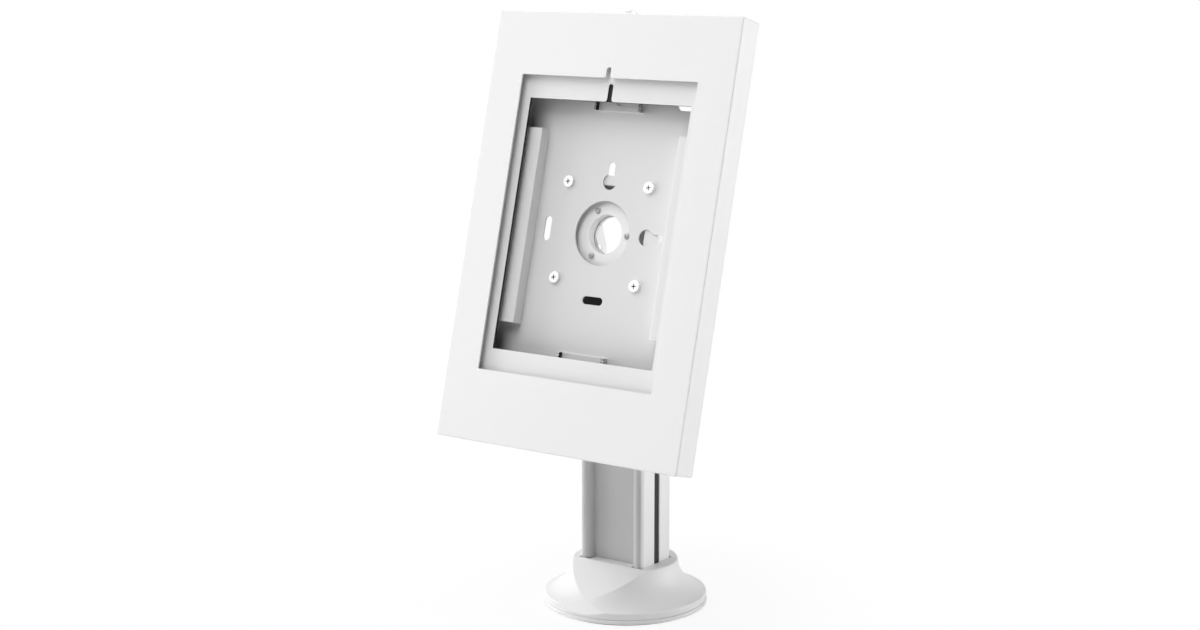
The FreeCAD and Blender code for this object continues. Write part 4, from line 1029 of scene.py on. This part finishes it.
def make_rear_tray(context, paint):
    enclosure, head = sizes(context)[:2]
    inset, place = enclosure.sheet + enclosure.cover_fit, plate_frame(head)
    top = enclosure.cover_above - inset
    holes = [disc(0, 0, HUB_HOLE, 96),
             keyhole(0, KEYHOLE_PLACE, *KEYHOLE, 0), keyhole(KEYHOLE_PLACE, 0, *KEYHOLE, -math.pi / 2),
             oblong(-TIE_PLACE, 0, *TIE_SLOT, True), oblong(0, -TIE_PLACE, *TIE_SLOT, False),
             oblong(*LEAD_SLOT, False)]
    tray = solid("rear_tray", pan, place, *wall_outlines(enclosure, inset), holes, enclosure.tray_rim, 0,
                 -enclosure.sheet, 1.4, 0.4)
    notch = solid("notch", slab, place, rectangle(-12, top - 3, 12, top + 5), [], 0.6, 20, 0.0)
    combine(tray, notch, "DIFFERENCE")
    # The back plate is white coat; the darker coat given here is painted shade.
    finish(tray, "enclosure", paint["tray_coat"], "white_coat", "rear_tray")


def make_channels(context, paint):
    enclosure, head = sizes(context)[:2]
    sheet, face, top = enclosure.sheet, enclosure.channel_face, enclosure.channel_height
    foot, flange = face + CHANNEL_FOOT, face + CHANNEL_FLANGE
    half, radii = enclosure.channel_length / 2, [0.5, 0.15, 0.15, 0.3, 0.3, 0.15, 0.15, 0.5]
    points = [(face, 0), (foot, 0), (foot, sheet), (face + sheet, sheet), (face + sheet, top - sheet),
              (flange, top - sheet), (flange, top), (face, top)]
    for side, name in ((-1, "channel_left"), (1, "channel_right")):
        bent = corners([(up, side * across) for across, up in points], radii)
        channel = solid(name, slab, end_frame(head), wound(bent), [], -half, half, 0.12)
        finish(channel, "enclosure", paint["inner_coat"], "inner_coat", name)


def teeth(low, high, valley, crest, count=9):
    """Side view of an ear between two places, with teeth along its upper edge."""
    pitch, foot = (high - low) / count, 1.2
    comb = [(low, foot)]
    for k in range(count):
        left = low + pitch * k
        comb += [(left + 0.01, valley), (left + pitch * 0.5, crest), (left + pitch * 0.97, valley)]
    return wound(comb + [(high, valley), (high, foot)])


def make_end_stops(context, paint):
    enclosure, head = sizes(context)[:2]
    place, half, top = plate_frame(head), enclosure.stop_width / 2, STOP_HEIGHT
    # Across, an ear reaches from ear to half; the black grip is on its inner side
    ear, grip, slack = half - enclosure.sheet, 0.6, 0.05
    dome = corners([(0, 0.8), (4.2, 0.8), (4.2, 2.2), (2.6, 3.4), (0, 3.4)], [0, 0, 0.3, 1.6, 0],
                   closed=False)
    for side, name in ((1, "top_bracket"), (-1, "bottom_bracket")):
        start, end = side * enclosure.stop_start, side * enclosure.stop_end
        lip, middle = end - side * enclosure.sheet, start + side * 8.5
        profile = corners([(start, 0), (end, 0), (end, top), (lip, top), (lip, enclosure.sheet),
                           (start, enclosure.sheet)], [0.1, 2, 0.3, 0.3, 0.6, 0.1])
        stop = solid(name, slab, side_frame(head), wound(profile), [], -half, half, 0.2)
        combine(stop, solid("dome", turned, moved(place, 0, middle), dome, 40), "UNION")
        low, high = sorted((start, start + side * STOP_EAR))
        bm = bmesh.new()
        bm.from_mesh(stop.data)
        for way in (-1, 1):
            for near, far, drop in ((ear, half, 0), (ear - grip, ear, 0.3)):
                slab(bm, side_frame(head), teeth(low, high, 4.2 - drop, 5.2 - drop), [],
                     *sorted((way * near, way * far)), 0.0)
        bm.to_mesh(stop.data)
        bm.free()
        # The end stops take the darker coat as painted shade from the enclosure.
        finish(stop, "enclosure", paint["tray_coat"], "inner_coat", name)
        repaint(stop, paint["black_plastic"], place,
                lambda at: ear - grip - slack < abs(at.x) < ear + slack and at.z > 1.6)
        # Painted shade: the outer faces of the upper stop's ears are painted dull grey for the shadow on
        # them; the dome on each stop takes the same dull grey.
        repaint(stop, paint["dull_steel"], place,
                lambda at: (side > 0 and abs(at.x) > ear + slack and at.z > 2.2)
                or (math.hypot(at.x, at.y - middle) < 4.3 and at.z > 1.65))


def make_vesa_plate(context, paint):
    head = sizes(context)[1]
    place, well, corner = plate_frame(head), head.well / 2, head.well_corner
    face, back, edge = -1.5, -4, rounding(0.3, 2)
    outline = rectangle(-PLATE_X, -PLATE_Y, PLATE_X, PLATE_Y, 6)
    down = [(1.4, face), (0.6, -1.7), (0.1, -2.3), (-0.4, -7.4), (-1.0, -8.3), (-2.0, -8.6)]
    up = [(0.4, -11.1), (1.8, -10.8), (2.4, -10.0), (2.6, -4.9), (3.1, -4.2), (3.9, back)]
    bm = bmesh.new()
    rings = steps_of(bm, place, outline, -1, back, 1, edge)
    rings += steps_of(bm, place, outline, -1, face, -1, edge[::-1])
    front, rear = ([ring_of(bm, place, rectangle(-well - more, -well - more, well + more, well + more,
                                                 corner + more), height) for more, height in steps]
                   for steps in (down, up))
    hole = [ring_of(bm, place, disc(0, 0, head.boss + 0.3, 96), height) for height in (down[-1][1], up[0][1])]
    for steps in (rings, front, rear, hole):
        skin(bm, steps)
    for pair in ((rings[-1], front[0]), (front[-1], hole[0]), (hole[1], rear[0]), (rings[0], rear[-1])):
        cap(bm, pair)
    # The mounting plate takes the darker coat as painted shade behind the back plate.
    finish(new_object("vesa_plate", bm), "enclosure", paint["tray_coat"], "zinc_steel", "vesa_plate")


# Lock

def lock_frame(head, enclosure):
    """Local z along the lock's axis, out of the cover's top edge."""
    across, up, out, origin = plate_axes(head)
    foot = Vector(origin) + LOCK_DEPTH * Vector(out) + enclosure.cover_above * Vector(up)
    return turned_frame(across, tuple(-x for x in out), up, tuple(foot))


def make_lock(context, paint):
    enclosure, head = sizes(context)[:2]
    place = lock_frame(head, enclosure)
    bore, body, flange, low, top = 4.05, 6, 7, -15.7, 5
    profile = corners([(bore, low), (body, low), (body, 0), (flange, 0), (flange, top), (bore, top)],
                      [0.2, 0.4, 0, 0.2, 1.6, 0.25])
    barrel = solid("lock_barrel", turned, place, profile, 72, closed=True)
    finish(barrel, "front", paint["lock_chrome"], "lock_chrome", "lock_barrel")
    profile = corners([(0, low - 0.5), (4, low - 0.5), (4, top - 0.5), (0, top - 0.5)], [0, 0.2, 0.3, 0],
                      closed=False)
    plug = solid("lock_plug", turned, place, profile, 56)
    for y, x in ((2.6, 0.7), (1.2, 1.3)):
        key = solid("key", slab, place, rectangle(-x, -y, x, y, 0.2), [], -0.5, 9, 0.0)
        combine(plug, key, "DIFFERENCE")
    finish(plug, "lock", paint["lock_chrome"], "lock_chrome", "lock_plug")


def make_lock_nut(context, paint):
    enclosure, head = sizes(context)[:2]
    height = 2.5
    item = nut(16, height, 6.0)
    item.name = "lock_nut"
    item.data.transform(moved(lock_frame(head, enclosure), 0, 0, -enclosure.sheet - height))
    finish(item, "front", paint["lock_chrome"], "lock_chrome", "lock_nut")


# Screws and nuts

def make_screws(context, paint):
    head, column = sizes(context)[1:3]
    place = plate_frame(head)
    zinc, bright, dull = (paint[name] for name in ("zinc_steel", "bright_screw", "dull_steel"))
    half, floor = SCREW_SQUARE / 2, column.top + CAP_FLOOR + head.metal
    points = [(x, y, 0) for x, y in four(half, half)]
    item = repeated("vesa_screws", pan_screw(4.6, 2.5, 1.9, 4, 2.2, 0.12), points, place, 3, bright, 0.2)
    finish(item, "enclosure", bright, "zinc_steel", "vesa_screws")
    # Painted shade: the cross recesses of these screws are painted black for the shade inside them.
    repaint(item, paint["black_plastic"], place,
            lambda at: 0.9 < at.z < 2.45 and math.hypot(abs(at.x) - half, abs(at.y) - half) < 2.4)
    points = [(x, y, head.ring_face) for x, y in disc(0, 0, RING_CIRCLE, 3)]
    item = repeated("ring_screws", pan_screw(2.3, 1.6, 1.4, 6, 1.2), points, place, 5, dull)
    finish(item, "tilt_head", dull, "zinc_steel", "ring_screws")
    points = [(x, y, floor) for x, y in ports(column)]
    item = repeated("head_screws", pan_screw(4, 2.8, 2, 20, 2.2), points, UPRIGHT, 7, zinc)
    finish(item, "stand", zinc, "zinc_steel", "head_screws")


def make_frame_nuts(context, paint):
    enclosure, head = sizes(context)[:2]
    height = 2.4
    foot = enclosure.mask_face - enclosure.mask_sheet - height
    points = [(x, y, foot) for x, y in four(*MASK_STUDS)]
    item = repeated("frame_nuts", nut(5.5, height, 1.5), points, plate_frame(head), 11, paint["zinc_steel"])
    finish(item, "front", paint["zinc_steel"], "zinc_steel", "frame_nuts")


KEPT = {
    "column_base_screws": "zinc_steel", "pivot_washers": "nylon", "friction_disc_front": "nylon",
    "friction_disc_rear": "nylon", "lock_keeper": "zinc_steel", "frame_studs": "zinc_steel",
    "frame_spacers": "nylon", "lock_cam": "zinc_steel", "cam_screw": "zinc_steel",
}


def paint_kept(context, paint):
    """Give the small hidden nodes that stay as packed their materials."""
    for name, slot in KEPT.items():
        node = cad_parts[name]
        node.data.materials.clear()
        node.data.materials.append(paint[slot])


# Stage, in metres and degrees

# Each lamp: name, direction about z, rise, side of its square, power in watts
LAMPS = (
    ("right low", 40, 3, 1.8, 81), ("right side", 20, 3, 1.8, 44), ("left low", 200, 3, 1.8, 80),
    ("left side", 180, 25, 2.4, 28), ("left high", 180, 55, 2.4, 54), ("front left", 240, 25, 2.4, 18),
    ("front high", 270, 55, 2.4, 66), ("top", 270, 88, 2.7, 29), ("back high", 90, 55, 2.4, 8),
)
LAMP_REACH = 4
LAMP_TARGET = Vector((0, 0, 0.24))
ROOM_LIGHT = 0.03
FADE_START, FADE_END, GLOW_START = 0.08, 0.24, 0.9
CAMERA_PLACE = (0.9097, -1.3104, 0.5234)
CAMERA_TURN = (79.67, 0, 35.5)
CAMERA_LENS = 62.3


def white_floor():
    """White floor that the camera sees as a faint shadow near the object and as plain white farther out."""
    material, tree, shader = new_material("White floor")
    feed(tree, shader, (("Base Color", (0.9, 0.9, 0.9, 1)), ("Roughness", 0.9), ("Specular IOR Level", 0.1)))
    place, reach, fade, rays, glow, mix = (tree.nodes.new("ShaderNode" + kind) for kind in (
        "TexCoord", "VectorMath", "MapRange", "LightPath", "Emission", "MixShader"))
    reach.operation, fade.interpolation_type = "LENGTH", "SMOOTHSTEP"
    feed(tree, fade, (("From Min", FADE_START), ("From Max", FADE_END), ("To Min", GLOW_START)))
    feed(tree, mix, [(0, maths(tree, "MULTIPLY", rays.outputs["Is Camera Ray"], fade.outputs["Result"]))])
    wire(tree, (place, "Object", reach, 0), (reach, "Value", fade, "Value"), (shader, 0, mix, 1),
         (glow, 0, mix, 2), (mix, 0, tree.nodes["Material Output"], "Surface"))
    return material


def lamp(name, turn, rise, size, power):
    """Soft square lamp that faces the product from a direction in degrees."""
    light = bpy.data.lights.new(name, "AREA")
    light.shape, light.size, light.energy = "SQUARE", size, power
    turn, rise = math.radians(turn), math.radians(rise)
    way = Vector((math.cos(turn) * math.cos(rise), math.sin(turn) * math.cos(rise), math.sin(rise)))
    item = bpy.data.objects.new(name, light)
    item.location = LAMP_TARGET + LAMP_REACH * way
    item.rotation_euler = way.to_track_quat("Z", "Y").to_euler()
    bpy.context.scene.collection.objects.link(item)
    return item


def make_stage(context):
    scene = context.scene
    bm = bmesh.new()
    bmesh.ops.create_grid(bm, x_segments=1, y_segments=1, size=6)
    floor = raw_object("floor", bm)
    floor.data.materials.append(white_floor())
    [lamp(*values) for values in LAMPS]
    world = bpy.data.worlds.new("White room")
    scene.world = world
    world.use_nodes = True
    tree = world.node_tree
    background = tree.nodes["Background"]
    rays = tree.nodes.new("ShaderNodeLightPath")
    seen = maths(tree, "MAXIMUM", rays.outputs["Is Camera Ray"], rays.outputs["Is Transmission Ray"])
    seen = maths(tree, "MAXIMUM", seen, rays.outputs["Is Glossy Ray"])
    strength = maths(tree, "ADD", maths(tree, "MULTIPLY", seen, 1 - ROOM_LIGHT), ROOM_LIGHT)
    feed(tree, background, (("Strength", strength), ("Color", (1, 1, 1, 1))))
    camera = bpy.data.objects.new("camera", bpy.data.cameras.new("camera"))
    camera.data.lens, camera.data.sensor_width = CAMERA_LENS, 36
    camera.location = CAMERA_PLACE
    camera.rotation_euler = [math.radians(turn) for turn in CAMERA_TURN]
    camera.data.clip_start, camera.data.clip_end = 0.01, 50
    scene.collection.objects.link(camera)
    scene.camera = camera
    scene.view_settings.view_transform = "Standard"


# Add-on

class TabletPiece:
    """Shared behaviour of the operators: each builds its pieces from the scene's sizes."""
    bl_options = {"REGISTER", "UNDO"}
    makers = ()

    def execute(self, context):
        paint = materials(context)
        for maker in self.makers:
            maker(context, paint)
        return {"FINISHED"}


class TABLET_OT_base(TabletPiece, bpy.types.Operator):
    """Build the pad and the steel disc"""
    bl_idname, bl_label = "tablet.base", "Base plates"
    makers = (make_base_plates,)


class TABLET_OT_base_cover(TabletPiece, bpy.types.Operator):
    """Build the bell-shaped base cover with its flat front"""
    bl_idname, bl_label = "tablet.base_cover", "Base cover"
    makers = (make_base_cover,)


class TABLET_OT_column(TabletPiece, bpy.types.Operator):
    """Build the extruded column with its slot strips and end cap"""
    bl_idname, bl_label = "tablet.column", "Column"
    makers = (make_column, make_slot_strips, make_column_cap)


class TABLET_OT_head_bracket(TabletPiece, bpy.types.Operator):
    """Build the fixed bracket and the bolts of the tilt axis"""
    bl_idname, bl_label = "tablet.head_bracket", "Fixed bracket"
    makers = (make_head_bracket, make_pivot_bolts)


class TABLET_OT_tilt_head(TabletPiece, bpy.types.Operator):
    """Build the tilting bracket with its boss and the clamping ring"""
    bl_idname, bl_label = "tablet.tilt_head", "Tilting head"
    makers = (make_tilt_yoke, make_clamp_ring)


class TABLET_OT_mount_plate(TabletPiece, bpy.types.Operator):
    """Build the pressed mounting plate"""
    bl_idname, bl_label = "tablet.mount_plate", "Mounting plate"
    makers = (make_vesa_plate,)


class TABLET_OT_rear_tray(TabletPiece, bpy.types.Operator):
    """Build the back plate of the enclosure"""
    bl_idname, bl_label = "tablet.rear_tray", "Back plate"
    makers = (make_rear_tray,)


class TABLET_OT_supports(TabletPiece, bpy.types.Operator):
    """Build the side supports and the end stops"""
    bl_idname, bl_label = "tablet.supports", "Supports"
    makers = (make_channels, make_end_stops)


class TABLET_OT_front_cover(TabletPiece, bpy.types.Operator):
    """Build the folded front cover"""
    bl_idname, bl_label = "tablet.front_cover", "Front cover"
    makers = (make_front_cover,)


class TABLET_OT_inner_frame(TabletPiece, bpy.types.Operator):
    """Build the mask behind the window"""
    bl_idname, bl_label = "tablet.inner_frame", "Mask"
    makers = (make_inner_frame,)


class TABLET_OT_lock(TabletPiece, bpy.types.Operator):
    """Build the lock in the top edge"""
    bl_idname, bl_label = "tablet.lock", "Lock"
    makers = (make_lock, make_lock_nut)


class TABLET_OT_screws(TabletPiece, bpy.types.Operator):
    """Build the repeated screws and nuts, and paint the small hidden pieces"""
    bl_idname, bl_label = "tablet.screws", "Screws and nuts"
    makers = (make_screws, make_frame_nuts, paint_kept)


class TABLET_OT_stage(bpy.types.Operator):
    """Build the white floor, the soft lamps and the camera"""
    bl_idname, bl_label = "tablet.stage", "Stage"
    bl_options = {"REGISTER", "UNDO"}

    def execute(self, context):
        make_stage(context)
        return {"FINISHED"}


GROUPS = {
    "tablet_enclosure": TabletEnclosureSizes, "tablet_head": TabletHeadSizes,
    "tablet_column": TabletColumnSizes, "tablet_base": TabletBaseSizes, "tablet_colours": TabletColours,
}
OPERATORS = (
    TABLET_OT_base, TABLET_OT_base_cover, TABLET_OT_column, TABLET_OT_head_bracket, TABLET_OT_tilt_head,
    TABLET_OT_mount_plate, TABLET_OT_rear_tray, TABLET_OT_supports, TABLET_OT_front_cover,
    TABLET_OT_inner_frame, TABLET_OT_lock, TABLET_OT_screws, TABLET_OT_stage,
)


class TABLET_PT_panel(bpy.types.Panel):
    """Sizes, colours and the steps that build the holder"""
    bl_idname, bl_label = "TABLET_PT_panel", "Tablet holder"
    bl_space_type, bl_region_type, bl_category = "VIEW_3D", "UI", "Tablet holder"

    def draw(self, context):
        for name, group in GROUPS.items():
            box = self.layout.box()
            for key in group.__annotations__:
                box.prop(getattr(context.scene, name), key)
        for operator in OPERATORS:
            self.layout.operator(operator.bl_idname)


def register():
    for item in (*GROUPS.values(), *OPERATORS, TABLET_PT_panel):
        bpy.utils.register_class(item)
    for name, group in GROUPS.items():
        setattr(bpy.types.Scene, name, bpy.props.PointerProperty(type=group))


def unregister():
    for name in GROUPS:
        delattr(bpy.types.Scene, name)
    for item in (TABLET_PT_panel, *reversed(OPERATORS), *reversed(GROUPS.values())):
        bpy.utils.unregister_class(item)


def main():
    register()
    for operator in OPERATORS:
        group, name = operator.bl_idname.split(".")
        getattr(getattr(bpy.ops, group), name)()


if __name__ == "__main__":
    main()
